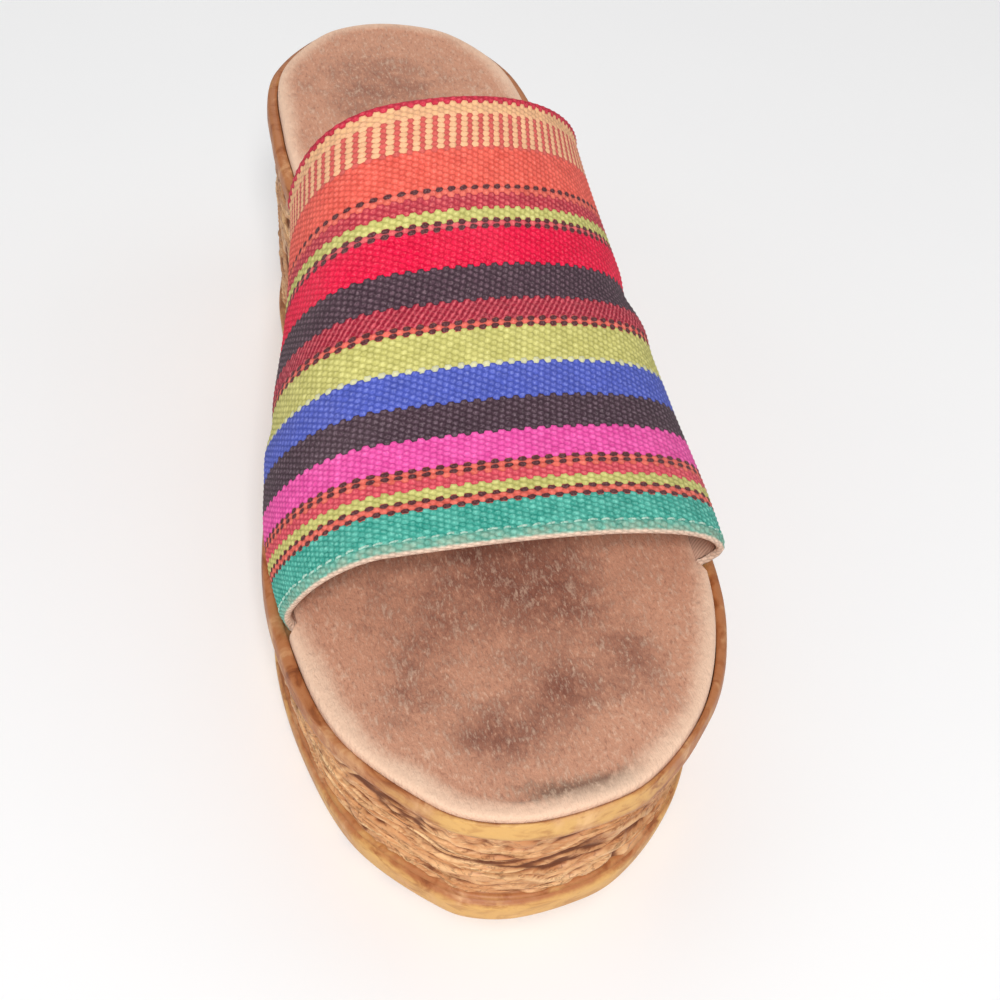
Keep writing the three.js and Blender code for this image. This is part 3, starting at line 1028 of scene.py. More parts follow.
@dataclass(frozen=True)
class BarkFinish:
    """Moulded sole painted like cut cork and bark, with dark creases, painted shade on the low
    carving and mottled rims.
    """

    gold: Colour = (216, 168, 100)
    stain: Colour = (178, 114, 70)
    tan: Colour = (208, 148, 98)
    light: Colour = (252, 210, 156)
    dark: Colour = (92, 44, 24)
    rust: Colour = (156, 88, 44)

    def build(self) -> Material:
        """Makes the material."""
        recipe = Recipe("bark_moulding")
        bark, height = recipe.attribute("bark"), recipe.attribute("height")
        speck = recipe.noise(recipe.place(), 520.0, 3.0, 0.65)
        grain = recipe.noise(recipe.place(), 1700.0, 2.0, 0.6)
        colour = recipe.mix(self.rims(recipe, speck), self.strips(recipe, speck), bark)
        # Rust and dark where the height value is low: crack lines, painted shade on the low
        # carving, and the darker groove and rim edges.
        rough = height + (speck - 0.5) * 0.24
        soft = 1.0 - rough.step(0.30, 0.92)
        crease = 1.0 - rough.step(0.10, 0.54)
        colour = recipe.dyed(colour, (self.rust, soft * 0.54), (self.dark, crease * 0.88),
                             (self.rust, speck.step(0.60, 0.78) * 0.30))
        return recipe.finish(Base_Color=colour, Roughness=crease * 0.3 + 0.50,
                             Specular_IOR_Level=0.35,
                             Normal=recipe.bump(grain * 0.5 + speck, 0.00018, 0.6))

    def rims(self, recipe: Recipe, speck: Channel) -> Socket:
        """Gold at the toe, browner round the sides, with streaks of stain and rubbed patches."""
        place = recipe.place()
        stain = recipe.attribute("stain")
        cloud = recipe.noise(place, 75.0, 4.0, 0.65, 0.5)
        streak = recipe.noise(recipe.place((1.0, 1.0, 2.6)), 150.0, 4.0, 0.6, 0.8)
        depth = stain + (cloud - 0.5) * 2.0 + (speck - 0.5) * 0.5
        return recipe.dyed(
            self.gold,
            (self.stain, depth.step(0.15, 0.95)),
            (self.light, cloud.step(0.52, 0.72) * 0.5),
            (self.rust, streak.step(0.46, 0.66) * (stain * 0.6 + 0.34)),
            (self.dark, streak.step(0.58, 0.76) * stain * 0.6))

    def strips(self, recipe: Recipe, speck: Channel) -> Socket:
        """Bark strips of different tans with painted light on the upper part of each, and fine dark
        veins along them.
        """
        tint = recipe.attribute("tint")
        cloud = recipe.noise(recipe.place(), 26.0, 3.0, 0.5, 0.3)
        vein = recipe.noise(recipe.place((1.0, 1.0, 5.0)), 120.0, 4.0, 0.55, 0.5)
        # The light colour follows the tint, so it also paints light on the upper part of each
        # strip.
        return recipe.dyed(
            self.tan,
            (self.light, (tint + (speck - 0.5) * 0.5).step(0.30, 0.85) * 0.95),
            (self.rust, cloud.step(0.48, 0.75) * 0.40),
            (self.dark, (1.0 - abs(vein - 0.5).step(0.0, 0.024)) * 0.50))


@dataclass(frozen=True)
class FloorFinish:
    """Plain pale studio floor."""

    colour: Colour = (250, 250, 250)
    shade: Colour = (244, 244, 246)

    def build(self) -> Material:
        """Makes the material."""
        recipe = Recipe("studio_floor")
        grain = recipe.noise(recipe.place(), 12.0, 2.0)
        colour = recipe.dyed(self.colour, (self.shade, grain * 0.3))
        return recipe.finish(Base_Color=colour, Roughness=0.9, Specular_IOR_Level=0.1)


# Sub-assemblies


@dataclass
class MouldedSole:
    """Platform wedge in one moulding: smooth rims, groove, carved side band and tray."""

    last: Last
    columns: int = 640
    rim_out: float = 3.0
    rim_drop: float = 2.5
    foot_out: float = 0.8
    toe_setback: float = 6.0
    setback_to: float = 0.35
    top_rim_tall: float = 4.8
    foot_rim_tall: float = 9.0
    band_depth: float = 2.6
    groove_depth: float = 1.2
    edge_round: float = 1.6
    gap: float = 0.3
    insole_thick: float = 4.0
    carving: float = 2.5
    carved_rows: int = 100
    carved_ends: tuple[float, float] = (0.03, 0.035)
    flake_columns: tuple[int, int] = (26, 46)
    flake_rows: tuple[int, int] = (18, 40)
    flake_squeeze: tuple[float, float] = (0.27, 0.20)
    wander: float = 1.5
    toe_slim: float = 0.55
    slim_from: float = 0.03
    slim_to: float = 0.20

    def kept(self, y: Array) -> Array:
        """Share of the rim's drop and reach that is left: less at the toe, all from the ball on."""
        grown = smooth(self.last.share(y), self.slim_from, self.slim_to)
        return 1.0 - self.toe_slim * (1.0 - grown)

    def rim(self, y: Array) -> Array:
        """Height of the top rim."""
        return self.last.top(y) - self.rim_drop * self.kept(y)

    def tray(self, y: Array) -> Array:
        """Height of the tray under the insole."""
        return self.last.top(y) - self.insole_thick - self.gap

    def wall(self, outline: Outline, lean: Array) -> Array:
        """Offset of the wall from the insole's outline; lean 0 is its foot, 1 its rim."""
        ahead = np.maximum(0.0, 1.0 - self.last.share(outline.points[:, 1]) / self.setback_to)
        reach = self.rim_out * self.kept(outline.points[:, 1])
        return lerp(self.foot_out - self.toe_setback * ahead, reach, lean)

    def wandering(self, outline: Outline) -> tuple[Array, Array]:
        """How far the borders of the carved band wander up and down, lower and upper."""
        turn = outline.turn
        low = 0.45 * drift("slow_border", turn + 0.37) + 0.25 * drift("quick_border", turn + 0.11)
        high = drift("slow_border", turn) + 0.55 * drift("quick_border", turn)
        return low * self.wander * 0.6, high * self.wander

    def carve(self, outline: Outline, share: float) -> tuple[Array, Array, Array]:
        """One row of the carved band.

        Args:
            outline: The points round the shoe.
            share: Height in the band, 0 to 1.

        Returns:
            Relief, height for the colours with painted shade where the carving lies low, and tint
            with painted light on the upper part of each strip, each 0 to 1.
        """
        turn = outline.turn
        y = outline.points[:, 1]
        tall = self.rim(y) - self.top_rim_tall - self.last.foot(y) - self.foot_rim_tall
        rows = 6.0 + (tall - 22.0) * 0.12
        bend = drift("bend", turn, share) * 1.25 + drift("small_bend", turn, share) * 0.6
        up = share * rows + bend + drift("ripple", turn, share) * 0.10 + 1.5
        lean = drift("lean", turn, share) * 0.3
        places = ((turn * self.flake_columns[0] + lean, up),
                  (turn * self.flake_columns[1] + lean * 2.0, up * 2.1 + bend * 0.5))
        flakes = (Flakes(31 + k, self.flake_columns[k], self.flake_rows[k]) for k in (0, 1))
        (border, tint, lift), (small, small_tint, small_lift) = (
            flake.at(*place, squeeze)
            for flake, place, squeeze in zip(flakes, places, self.flake_squeeze))
        border = border - 0.05 * (drift("opening", turn, share) * 0.5 + 0.5)
        coarse = smooth(border, -0.02, 0.16) * (0.50 + 0.20 * tint + 0.60 * lift)
        fine = smooth(small, 0.0, 0.18) * (0.50 + 0.25 * small_tint + 0.70 * small_lift)
        relief = eased(np.clip(0.18 + 0.55 * coarse + 0.36 * fine, 0.0, 1.06))
        cracks = np.minimum(smooth(border, -0.03, 0.06), smooth(small, 0.0, 0.05) * 0.95 + 0.05)
        # Tint: random tan of each strip, plus painted light on the upper part of each small strip.
        light = 0.25 * tint + 0.40 * small_tint + 0.45 * small_lift + 0.12
        # Height for the colours: the crack lines, darkened further as painted shade where the
        # carving lies low.
        return relief, eased(cracks) * (0.62 + 0.38 * relief), light

    def carved_rings(self, outline: Outline) -> tuple[list[Array], list[Array], list[Array]]:
        """Rings of the carved band with their colour values."""
        low, high = self.wandering(outline)
        rings, heights, tints_and_light = [], [], []
        under_rim_wobble = drift("under_rim_wobble", outline.turn) * 0.05
        for i in range(1, self.carved_rows):
            share = i / self.carved_rows
            relief, height, tint = self.carve(outline, share)
            fade = min(1.0, share / self.carved_ends[0], (1.0 - share) / self.carved_ends[1])
            relief = relief * fade
            back = self.wall(outline, lerp(0.15, 0.80, share)) - self.band_depth

            def level(y: Array) -> Array:
                bottom = self.last.foot(y) + self.foot_rim_tall + low
                return lerp(bottom, self.rim(y) - self.top_rim_tall + high, share)

            rings.append(outline.ring(back + relief * self.carving, level))
            # Darker in the top rows of the band, right under the top rim, with a wobbling border.
            darker_under_rim = 1.0 - 0.72 * (1.0 - smooth(1.0 - share + under_rim_wobble, 0.03, 0.11))
            heights.append(height * darker_under_rim * smooth(fade, 0.0, 1.0))
            tints_and_light.append(tint)
        return rings, heights, tints_and_light

    def foot_rings(self, outline: Outline) -> list[Array]:
        """Control rings of the rim at the floor and the groove over it."""
        low, _ = self.wandering(outline)
        edge = min(self.edge_round, 0.6 * (self.rim_out - self.gap))
        rows = ((0.0, edge, 0.0, 0), (0.0, edge * 0.3, 0.06, 0), (0.0, 0.0, 0.21, 0),
                (0.10, 0.0, 0.70, 0), (0.10, self.groove_depth, 0.78, 0.2),
                (0.10, self.groove_depth, 0.86, 0.5), (0.15, 0.4, 0.94, 0.8),
                (0.15, self.band_depth, 1.0, 1.0))
        return [outline.ring(self.wall(outline, lean) - inset, lambda y, up=up, follow=follow:
                             self.last.foot(y) + up * self.foot_rim_tall + follow * low)
                for lean, inset, up, follow in rows]

    def rim_rings(self, outline: Outline) -> list[Array]:
        """Control rings of the top rim."""
        _, high = self.wandering(outline)
        reach = self.rim_out * self.kept(outline.points[:, 1])
        edge = np.minimum(self.edge_round, 0.6 * (reach - self.gap))
        rows = ((0.80, self.band_depth, 1.0, 1.0), (0.90, edge * 0.5, 0.97, 1.0),
                (1.0, 0.0, 0.80, 0.7), (1.0, 0.0, 0.26, 0), (1.0, edge * 0.3, 0.075, 0),
                (1.0, edge, 0.0, 0))
        uneven = (0.22 + 0.16 * drift("slow_rim", outline.turn)
                  + 0.06 * drift("quick_rim", outline.turn))
        made = []
        for lean, inset, drop, follow in rows:
            hollow = uneven * math.sin(math.pi * drop) ** 0.5
            made.append(outline.ring(self.wall(outline, lean) - inset - hollow,
                                     lambda y, drop=drop, follow=follow:
                                     self.rim(y) - drop * self.top_rim_tall + follow * high))
        return made

    def build(self) -> Object:
        """Lays one grid from the middle of the underside round the side to the tray's middle."""
        outline = self.last.around(self.columns)
        foot = spline_rows(np.array(self.foot_rings(outline)), (1, 2, 3, 2, 2, 2, 2))
        rim = spline_rows(np.array(self.rim_rings(outline)), (2, 2, 4, 2, 2))
        carved, heights, tints_and_light = self.carved_rings(outline)
        floor = outline.closing(foot[0], 8, lambda y, share, wide: self.last.foot(y))
        tray = [outline.ring(np.array(self.gap), height) for height in (self.rim, self.tray)]
        top = outline.closing(tray[-1], 6, lambda y, share, wide: self.tray(y))
        rings = np.concatenate([floor[::-1], foot, carved, rim, tray, top])
        count, before = len(rings), len(floor) + len(foot)
        flat = {name: np.full((count, self.columns), value)
                for name, value in (("bark", 0.0), ("height", 1.0), ("tint", 0.5), ("stain", 0.0))}
        flat["bark"][before:before + len(carved)] = 1.0
        flat["height"][before:before + len(carved)] = heights
        flat["tint"][before:before + len(carved)] = tints_and_light
        self.mark_edges(outline, flat, len(floor), len(foot), before + len(carved), len(rim))
        return laid_round("sole_unit", rings, flat)

    def mark_edges(self, outline: Outline, flat: dict[str, Array], first: int, foot: int,
                   rim_start: int, rim: int) -> None:
        """Fills the colour values of the rims and the groove.

        Args:
            outline: The points round the shoe.
            flat: The values by name, rows by columns.
            first: Row at which the foot rim starts.
            foot: Rows of the foot rim.
            rim_start: Row at which the top rim starts.
            rim: Rows of the top rim.
        """
        y = outline.points[:, 1] / self.last.length
        x = outline.points[:, 0]
        side = 0.86 - 0.76 * np.exp(-((x + 1.0) / 24.0) ** 4) * smooth(-y, -0.16, -0.05)
        for k in range(foot):
            share = k / (foot - 1)
            groove = smooth(share, 0.34, 0.52)
            flat["stain"][first + k] = lerp(0.04 + 0.42 * side, 0.84, groove)
            hollow = smooth(share, 0.50, 0.58) * (1.0 - smooth(share, 0.70, 0.82))
            flat["height"][first + k] = 1.0 - 0.62 * hollow - 0.75 * smooth(share, 0.88, 1.0)
        for k in range(rim):
            share = k / (rim - 1)
            low = 1.0 - smooth(share, 0.10, 0.55)
            flat["stain"][rim_start + k] = side + 0.3 * share**4 + 0.7 * low
            flat["height"][rim_start + k] = 0.05 + 0.95 * smooth(share, 0.0, 0.25)
        flat["stain"][rim_start + rim:] = 0.9


@dataclass(frozen=True)
class Spot:
    """A soft oval patch or crease.

    x and y are its middle, long and wide its half sizes in millimetres, turn its angle in
    degrees and depth its strength.
    """

    x: float
    y: float
    long: float
    wide: float
    turn: float
    depth: float

    def at(self, x: Array, y: Array, unit_x: float = 1.0, unit_y: float = 1.0) -> Array:
        """Its strength at places in millimetres; its middle counts in the given units."""
        angle = math.radians(self.turn)
        dx, dy = x - self.x * unit_x, y - self.y * unit_y
        along = dx * math.cos(angle) + dy * math.sin(angle)
        across = -dx * math.sin(angle) + dy * math.cos(angle)
        return self.depth * np.exp(-(along / self.long) ** 2 - (across / self.wide) ** 2)


# Dark (positive) and pale (negative) patches of the insole, in millimetres from the toe tip
WEAR = (
    Spot(-5.0, 20.0, 10.0, 8.0, 0.0, 0.55), Spot(9.0, 30.0, 15.0, 9.0, 20.0, 0.50),
    Spot(28.0, 38.0, 6.0, 14.0, 10.0, 0.35), Spot(-20.0, 33.0, 8.0, 14.0, -20.0, 0.45),
    Spot(-23.0, 14.0, 12.0, 6.0, -38.0, -0.55), Spot(22.0, 17.0, 8.0, 7.0, 40.0, -0.45),
    Spot(-36.0, 40.0, 4.0, 16.0, -8.0, -0.5), Spot(2.0, 68.0, 34.0, 30.0, 0.0, 0.65),
    Spot(0.0, 212.0, 20.0, 24.0, 0.0, 0.55), Spot(2.0, 150.0, 16.0, 30.0, 0.0, 0.25),
)
# Dark smudges near the toe: sooty dirt and painted shadow of a crease by the outer rim, in
# millimetres from the toe tip.
SOOT_AND_SHADOW = (
    Spot(9.0, 5.8, 13.0, 3.2, 4.0, 1.0), Spot(-2.0, 9.0, 8.0, 3.0, 0.0, 0.35),
    Spot(19.0, 10.0, 7.0, 3.0, 32.0, 0.45),
)


@dataclass
class SuedeInsole:
    """Padded board in suede, let into the sole's tray, with room for the band's margins."""

    last: Last
    sole: MouldedSole
    columns: int = 440
    thick: float = 4.0
    dish: float = 1.2
    roll: float = 1.3
    pocket_deep: float = 2.3
    pocket_wide: float = 13.5
    pocket_tall: float = 2.7

    def pocket(self, outline: Outline, band: "WovenBand") -> Array:
        """One where the band goes down beside the insole, none elsewhere."""
        y = outline.points[:, 1]
        share = np.zeros(y.shape)
        for side, name in ((1, "lateral"), (-1, "medial")):
            start, end = (float(band.value(f"{name}_foot", at)) * self.last.length
                          for at in (0.0, 1.0))
            inside = smooth(y, start - 1.6, start - 0.5) * (1.0 - smooth(y, end + 0.5, end + 1.6))
            share = np.where(outline.points[:, 0] * side > 0, inside, share)
        return share

    def build(self, band: "WovenBand") -> Object:
        """Lays one grid from the middle of the underside round the rolled edge to the top."""
        outline = self.last.around(self.columns)
        pocket = self.pocket(outline, band)

        def seat(y: Array) -> Array:
            return self.sole.tray(y) + self.sole.gap

        inset = pocket * self.pocket_deep
        raised = pocket * self.pocket_tall
        room = self.thick - raised
        under = outline.ring(-(self.pocket_wide + 2.0), seat)
        step = outline.ring(-self.pocket_wide, lambda y: seat(y) + raised)
        rows = ((0.9, 0.0), (0.35, 0.06), (0.0, 0.25), (0.0, 0.60), (0.22, 0.84), (0.7, 0.965),
                (1.5, 1.0), (3.0, 1.0))
        edge = [outline.ring(-inset * (1.0 - 0.15 * up) - across * self.roll,
                             lambda y, up=up: seat(y) + raised + up * room) for across, up in rows]
        side = spline_rows(np.array(edge), (1, 2, 3, 3, 3, 2, 2))
        low = outline.closing(under, 4, lambda y, share, wide: seat(y))
        high = outline.closing(side[-1], 34, self.dished)
        rings = np.concatenate([low[::-1], under[None], step[None], side, high])
        values = {"edge": np.linalg.norm(rings[:, :, :2] - outline.points[None], axis=2),
                  "wear": sum(spot.at(rings[..., 0], rings[..., 1]) for spot in WEAR),
                  "soot_and_shadow": sum(spot.at(rings[..., 0], rings[..., 1]) for spot in SOOT_AND_SHADOW)}
        return laid_round("insole_pad", rings, values)

    def dished(self, y: Array, share: Array, wide: Array) -> Array:
        """Height of the top: a slight dish with the print of use under ball and heel."""
        dish = self.dish * 4.0 * share * (1.0 - share) * (wide / self.last.widths["ball"])
        return self.sole.tray(y) + self.sole.gap + self.thick - dish


@dataclass(frozen=True)
class BandRow:
    """One section of the band from its front edge, 0, to its back edge, 1."""

    at: float
    medial_foot: float
    lateral_foot: float
    high: float
    lean: float
    crown: float
    medial_fullness: float
    lateral_fullness: float
    medial_swell: float
    lateral_swell: float


BAND_ROWS = (
    BandRow(0.0, 0.227, 0.262, 0.705, 0.300, 0.20, 1.80, 2.48, -0.70, 0.42),
    BandRow(1 / 3, 0.373, 0.415, 0.792, 0.362, 0.27, 2.12, 2.38, 0.27, 0.60),
    BandRow(2 / 3, 0.520, 0.567, 0.903, 0.497, 0.32, 2.49, 2.17, 0.84, 0.94),
    BandRow(1.0, 0.666, 0.720, 1.000, 0.633, 0.37, 2.68, 2.15, 0.64, 1.00),
)


# Troughs and ridges of the band; x is -1 at the inner foot to 1 at the outer, y 0 front to 1 back
CREASES = (
    Spot(0.78, 0.60, 20.0, 3.4, 12.0, 0.9), Spot(0.84, 0.52, 18.0, 4.2, 8.0, -0.7),
    Spot(-0.82, 0.46, 16.0, 4.0, -10.0, 0.6), Spot(-0.74, 0.38, 18.0, 5.0, -14.0, -0.45),
    Spot(0.35, 0.30, 26.0, 7.0, 5.0, 0.35), Spot(-0.25, 0.72, 24.0, 7.0, -6.0, 0.3),
)


@dataclass
class WovenBand:
    """Striped cloth band over the forefoot: cloth, lining, hem, selvedge and running stitch."""

    last: Last
    sole: MouldedSole
    weave: Weave = field(default_factory=Weave)
    cloth: float = 2.0
    instep: float = 43.5
    swell: float = 1.9
    margin: float = 8.0
    bend_inside: float = 0.8
    tuck_tall: float = 8.0
    steps: int = 90
    stitch_from_edge: float = 3.1
    stitch_steps: tuple[float, ...] = (-1.0, -0.86, -0.5, 0.0, 0.5, 0.86, 1.0)
    stitch_lift: tuple[float, ...] = (-0.45, 0.02, 0.14, 0.18, 0.14, 0.02, -0.45)
    thread: float = 0.48
    stitch_pull: float = 0.34
    stitch_groove: float = 0.55
    stitch_reach: tuple[float, float] = (0.22, 0.36)
    hem_fold: float = 0.22
    hem_end: tuple[float, float] = (2.4, 4.2)
    edge_in: float = 0.9
    edge_thin: float = 0.55
    edge_end: tuple[float, float] = (0.6, 2.6)
    selvedge: float = 0.45
    selvedge_wide: float = 1.0
    plain: tuple[float, float] = (3.6, 6.0)
    unwoven: tuple[float, float] = (3.4, 4.4)
    bend_angles: tuple[float, ...] = (60.0, 30.0, 0.0)
    margin_places: tuple[float, ...] = (0.3, 0.6, 0.9, 2.2, 3.4)
    roll_angles: tuple[float, ...] = (22.0, 45.0, 68.0, 90.0, 112.0, 135.0, 158.0, 180.0)
    lining_grid: tuple[int, int] = (40, 64)

    def __post_init__(self) -> None:
        """Counts the floats from the crown to the sole on each side."""
        self.inner_pitches = self.floats("medial")
        self.outer_pitches = self.floats("lateral")

    def floats(self, name: str) -> int:
        """Floats on one side, from the mean length of its arch."""
        dense = self.arch(name, np.linspace(0.0, 1.0, 9))
        reach = np.linalg.norm(np.diff(dense, axis=1), axis=2).sum(axis=1)
        return round(float(reach.mean()) / self.weave.pitch)

    @property
    def wide(self) -> float:
        """Width of the cloth along the foot."""
        return self.last.length * 0.44

    def value(self, column: str, at: Array) -> Array:
        """Value of a column of the table between its rows: the cubic through the four rows."""
        total = 0.0
        for row in BAND_ROWS:
            weight = 1.0
            for other in BAND_ROWS:
                if other is not row:
                    weight = weight * (at - other.at) / (row.at - other.at)
            total = total + getattr(row, column) * weight
        return total

    @property
    def bend(self) -> float:
        """Radius of the margin's bend on the middle of the cloth."""
        return self.cloth / 2 + self.bend_inside

    def foot(self, name: str, at: Array) -> dict[str, Array]:
        """Where one side of the band leaves the sole.

        Args:
            name: lateral or medial.
            at: Place from the front edge to the back edge.

        Returns:
            The named places and sizes there.
        """
        sign = 1 if name == "lateral" else -1
        y = self.value(f"{name}_foot", at) * self.last.length
        edge = self.last.edge(sign, y)
        out = self.sole.rim_out + self.value(f"{name}_swell", at) * self.swell
        return {
            "y": y, "sign": sign, "out": out,
            "x": edge + sign * (out - self.cloth / 2),
            "upright": edge - sign * self.cloth / 2,
            "z": self.last.top(y) - self.sole.rim_drop + self.sole.gap,
            "tray": self.sole.tray(y),
            "fullness": self.value(f"{name}_fullness", at),
        }

    def crown(self, at: Array) -> dict[str, Array]:
        """The highest line of the band."""
        outer, inner = self.foot("lateral", at), self.foot("medial", at)
        share = self.value("crown", at)
        return {
            "x": lerp(inner["x"], outer["x"], share),
            "y": lerp(inner["y"], outer["y"], share),
            "lean": self.value("lean", at) * self.instep,
            "z": lerp(inner["z"], outer["z"], share)
            + self.value("high", at) * self.instep - self.cloth / 2,
        }

    def arch(self, name: str, at: Array) -> Array:
        """One side of the cloth's middle, from the crown down to the sole."""
        foot, crown = self.foot(name, at), self.crown(at)
        start = (foot["tray"] + self.sole.gap + self.cloth / 2 + self.bend)[:, None]
        angle = (np.pi / 2) * np.linspace(1.0, 0.0, self.steps + 1)[None] ** 1.35
        power = (2.0 / foot["fullness"])[:, None]
        across = np.maximum(np.cos(angle), 0.0) ** power
        rise = np.sin(angle) ** power
        z = start + (crown["z"][:, None] - start) * rise
        tuck = (1.0 - np.clip((z - start) / self.tuck_tall, 0.0, 1.0)) ** 2
        side = foot["x"][:, None] - foot["sign"] * foot["out"][:, None] * tuck
        x = crown["x"][:, None] + (side - crown["x"][:, None]) * across
        y = (foot["y"][:, None] + (crown["y"] - foot["y"])[:, None] * (1.0 - across)
             - crown["lean"][:, None] * rise)
        return np.stack([x, y, z], axis=2)

    def margin_path(self, name: str, at: Array) -> Array:
        """Bend and lasting margin of one side, from the sole's edge inwards."""
        foot = self.foot(name, at)
        level = foot["tray"] + self.sole.gap + self.cloth / 2
        middle = foot["upright"] - foot["sign"] * self.bend
        made = []
        for angle in self.bend_angles:
            turn = math.radians(angle)
            made.append(np.stack([middle + foot["sign"] * self.bend * math.sin(turn), foot["y"],
                                  level + self.bend * (1.0 - math.cos(turn))], axis=1))
        for share in (0.5, 1.0):
            aside = foot["sign"] * self.margin * share
            made.append(np.stack([middle - aside, foot["y"], level], axis=1))
        return np.stack(made, axis=1)

    def side_grid(self, name: str, at: Array, pitches: int) -> tuple[Array, Array]:
        """One side of the cloth in steps of a quarter pitch, then its margin.

        Args:
            name: lateral or medial.
            at: Places of the rows.
            pitches: Floats from the crown to the sole.

        Returns:
            Points, and the place across of each column in pitches.
        """
        dense = self.arch(name, at)
        reach = np.linalg.norm(np.diff(dense, axis=1), axis=2)
        reach = np.concatenate([np.zeros((len(at), 1)), np.cumsum(reach, axis=1)], axis=1)
        count = pitches * 4
        shares = np.linspace(0.0, 1.0, count + 1)
        usual = reach[:, -1].mean()
        rows = []
        for i in range(len(at)):
            laid = shares * usual + shares**2 * (reach[i, -1] - usual)
            rows.append(read_at(laid, reach[i], dense[i]))
        margin = self.margin_path(name, at)
        across = np.concatenate([shares * pitches, pitches + np.array(self.margin_places)])
        return np.concatenate([np.array(rows), margin], axis=1), across

    def middle(self, at: Array) -> tuple[Array, Array]:
        """Middle of the cloth from the inner margin to the outer one, with places across."""
        inner, inner_across = self.side_grid("medial", at, self.inner_pitches)
        outer, outer_across = self.side_grid("lateral", at, self.outer_pitches)
        grid = np.concatenate([inner[:, :0:-1], outer], axis=1)
        return grid, np.concatenate([-inner_across[:0:-1], outer_across])

    def creased(self, grid: Array, at: Array, across: Array) -> Array:
        """How far the listed creases move the cloth along its normal."""
        side = np.where(across > 0, across / self.outer_pitches, across / self.inner_pitches)
        half = 0.5 * (self.inner_pitches + self.outer_pitches) * self.weave.pitch
        move = np.zeros((len(at), len(across)))
        for crease in CREASES:
            move -= crease.at(side[None] * half, at[:, None] * self.wide, half, self.wide)
        free = smooth(np.abs(side), 1.0, 0.90)
        return move * free[None]

    def build(self) -> list[Object]:
        """Makes the cloth and its running stitch."""
        at = (np.arange(self.weave.picks) + 0.5) / self.weave.picks
        at = at[(at * self.wide >= self.edge_in) & ((1.0 - at) * self.wide >= self.edge_in)]
        grid, across = self.middle(at)
        normal = surface_normals(grid)
        if normal[len(at) // 2, len(across) // 2, 2] < 0:
            normal = -normal
        grid = grid + normal * self.creased(grid, at, across)[:, :, None]
        cloth = self.cloth_piece(grid, normal, at, across)
        return [cloth, self.stitch_piece(grid, normal, at, across)]

    def thickness(self, at: Array, across: Array) -> Array:
        """Half thickness of hem, cloth and selvedge before the threads."""
        from_front = at * self.wide
        from_back = (1.0 - at) * self.wide
        hem = self.hem_fold * (1.0 - smooth(from_front, *self.hem_end))
        hem = hem - self.edge_thin * (1.0 - smooth(from_front, *self.edge_end))
        from_stitch = (from_front - self.stitch_from_edge) / self.stitch_groove
        trough = self.stitch_pull * np.exp(-from_stitch ** 2)
        roll = self.selvedge * np.exp(-((from_back - self.edge_in) / self.selvedge_wide) ** 2)
        free = smooth(np.minimum(across - across[0], across[-1] - across), *self.plain)
        return self.cloth / 2 + (hem - trough + roll)[:, None] * free[None]

    def cloth_piece(self, grid: Array, normal: Array, at: Array, across: Array) -> Object:
        """The cloth as one closed wall: woven outside, rolled edges, plain lining.

        Args:
            grid: Middle of the cloth.
            normal: Its outward directions.
            at: Places of the rows, front to back.
            across: Places of the columns in pitches.

        Returns:
            The piece.
        """
        along = at * self.weave.picks - 0.5
        relief = self.weave.relief(*np.meshgrid(across, along))
        free = smooth(np.minimum(across - across[0], across[-1] - across), *self.unwoven)
        out = self.thickness(at, across) + (relief - 0.5) * self.weave.rise * free[None]
        outside = grid + normal * out[:, :, None]
        front, front_along = self.rolled_edge(grid, normal, out, 0, -1.0)
        back, back_along = self.rolled_edge(grid, normal, out, -1, 1.0)
        points = np.concatenate([front, outside, back])
        rows_along = np.concatenate([along[0] + front_along, along, along[-1] + back_along])
        keep_rows, keep_columns = (
            np.unique(np.linspace(0, len(places) - 1, count).astype(int))
            for places, count in zip((at, across), self.lining_grid))
        inside = (grid - normal * self.cloth / 2)[np.ix_(keep_rows, keep_columns)]
        lining = laid_grid("band_inside", inside)
        set_uv(lining, *np.meshgrid(across[keep_columns], at[keep_rows] * self.weave.picks))
        piece = laid_grid("woven_band", points)
        set_uv(piece, *np.meshgrid(across, rows_along))
        return self.close_wall(piece, lining, points.shape[:2], inside.shape[:2])

    def rolled_edge(self, grid: Array, normal: Array, out: Array, row: int,
                    sense: float) -> tuple[Array, Array]:
        """Half-round edge of the cloth at its front or back.

        Args:
            grid: Middle of the cloth.
            normal: Its outward directions.
            out: Distance of the outside from the middle.
            row: First or last row.
            sense: -1 at the front, 1 at the back.

        Returns:
            Rows in the order of the grid, and their places along in rows.
        """
        inner_row = 3 if row == 0 else -4
        ahead = unit(grid[row] - grid[inner_row])
        rolls, places = [], []
        for turn in np.radians(self.roll_angles):
            high = out[row] if turn < math.pi / 2 else np.full(out[row].shape, self.cloth / 2)
            rolls.append(grid[row] + normal[row] * (high * math.cos(turn))[:, None]
                         + ahead * (math.sin(turn) * self.edge_in))
            places.append(sense * 1.6 * turn)
        if row == 0:
            return np.array(rolls[::-1]), np.array(places[::-1])
        return np.array(rolls), np.array(places)

    @staticmethod
    def close_wall(piece: Object, lining: Object, outside: tuple[int, int],
                   inside: tuple[int, int]) -> Object:
        """Joins the outside and the coarser lining into one closed piece.

        Args:
            piece: The outside with its rolled edges.
            lining: The lining.
            outside: Rows and columns of the outside.
            inside: Rows and columns of the lining.

        Returns:
            The piece, with cloth and lining as its two materials.
        """
        pick_out(lining, piece)
        cloth_faces = len(piece.data.polygons)
        bpy.ops.object.join()
        zip_rings(piece, border_ring(*outside, 0), border_ring(*inside, outside[0] * outside[1]))
        weld(piece, 0.0000005)
        shade(piece)
        finish = np.zeros(len(piece.data.polygons), dtype=np.int32)
        finish[cloth_faces:] = 1
        piece.data.polygons.foreach_set("material_index", finish)
        return piece

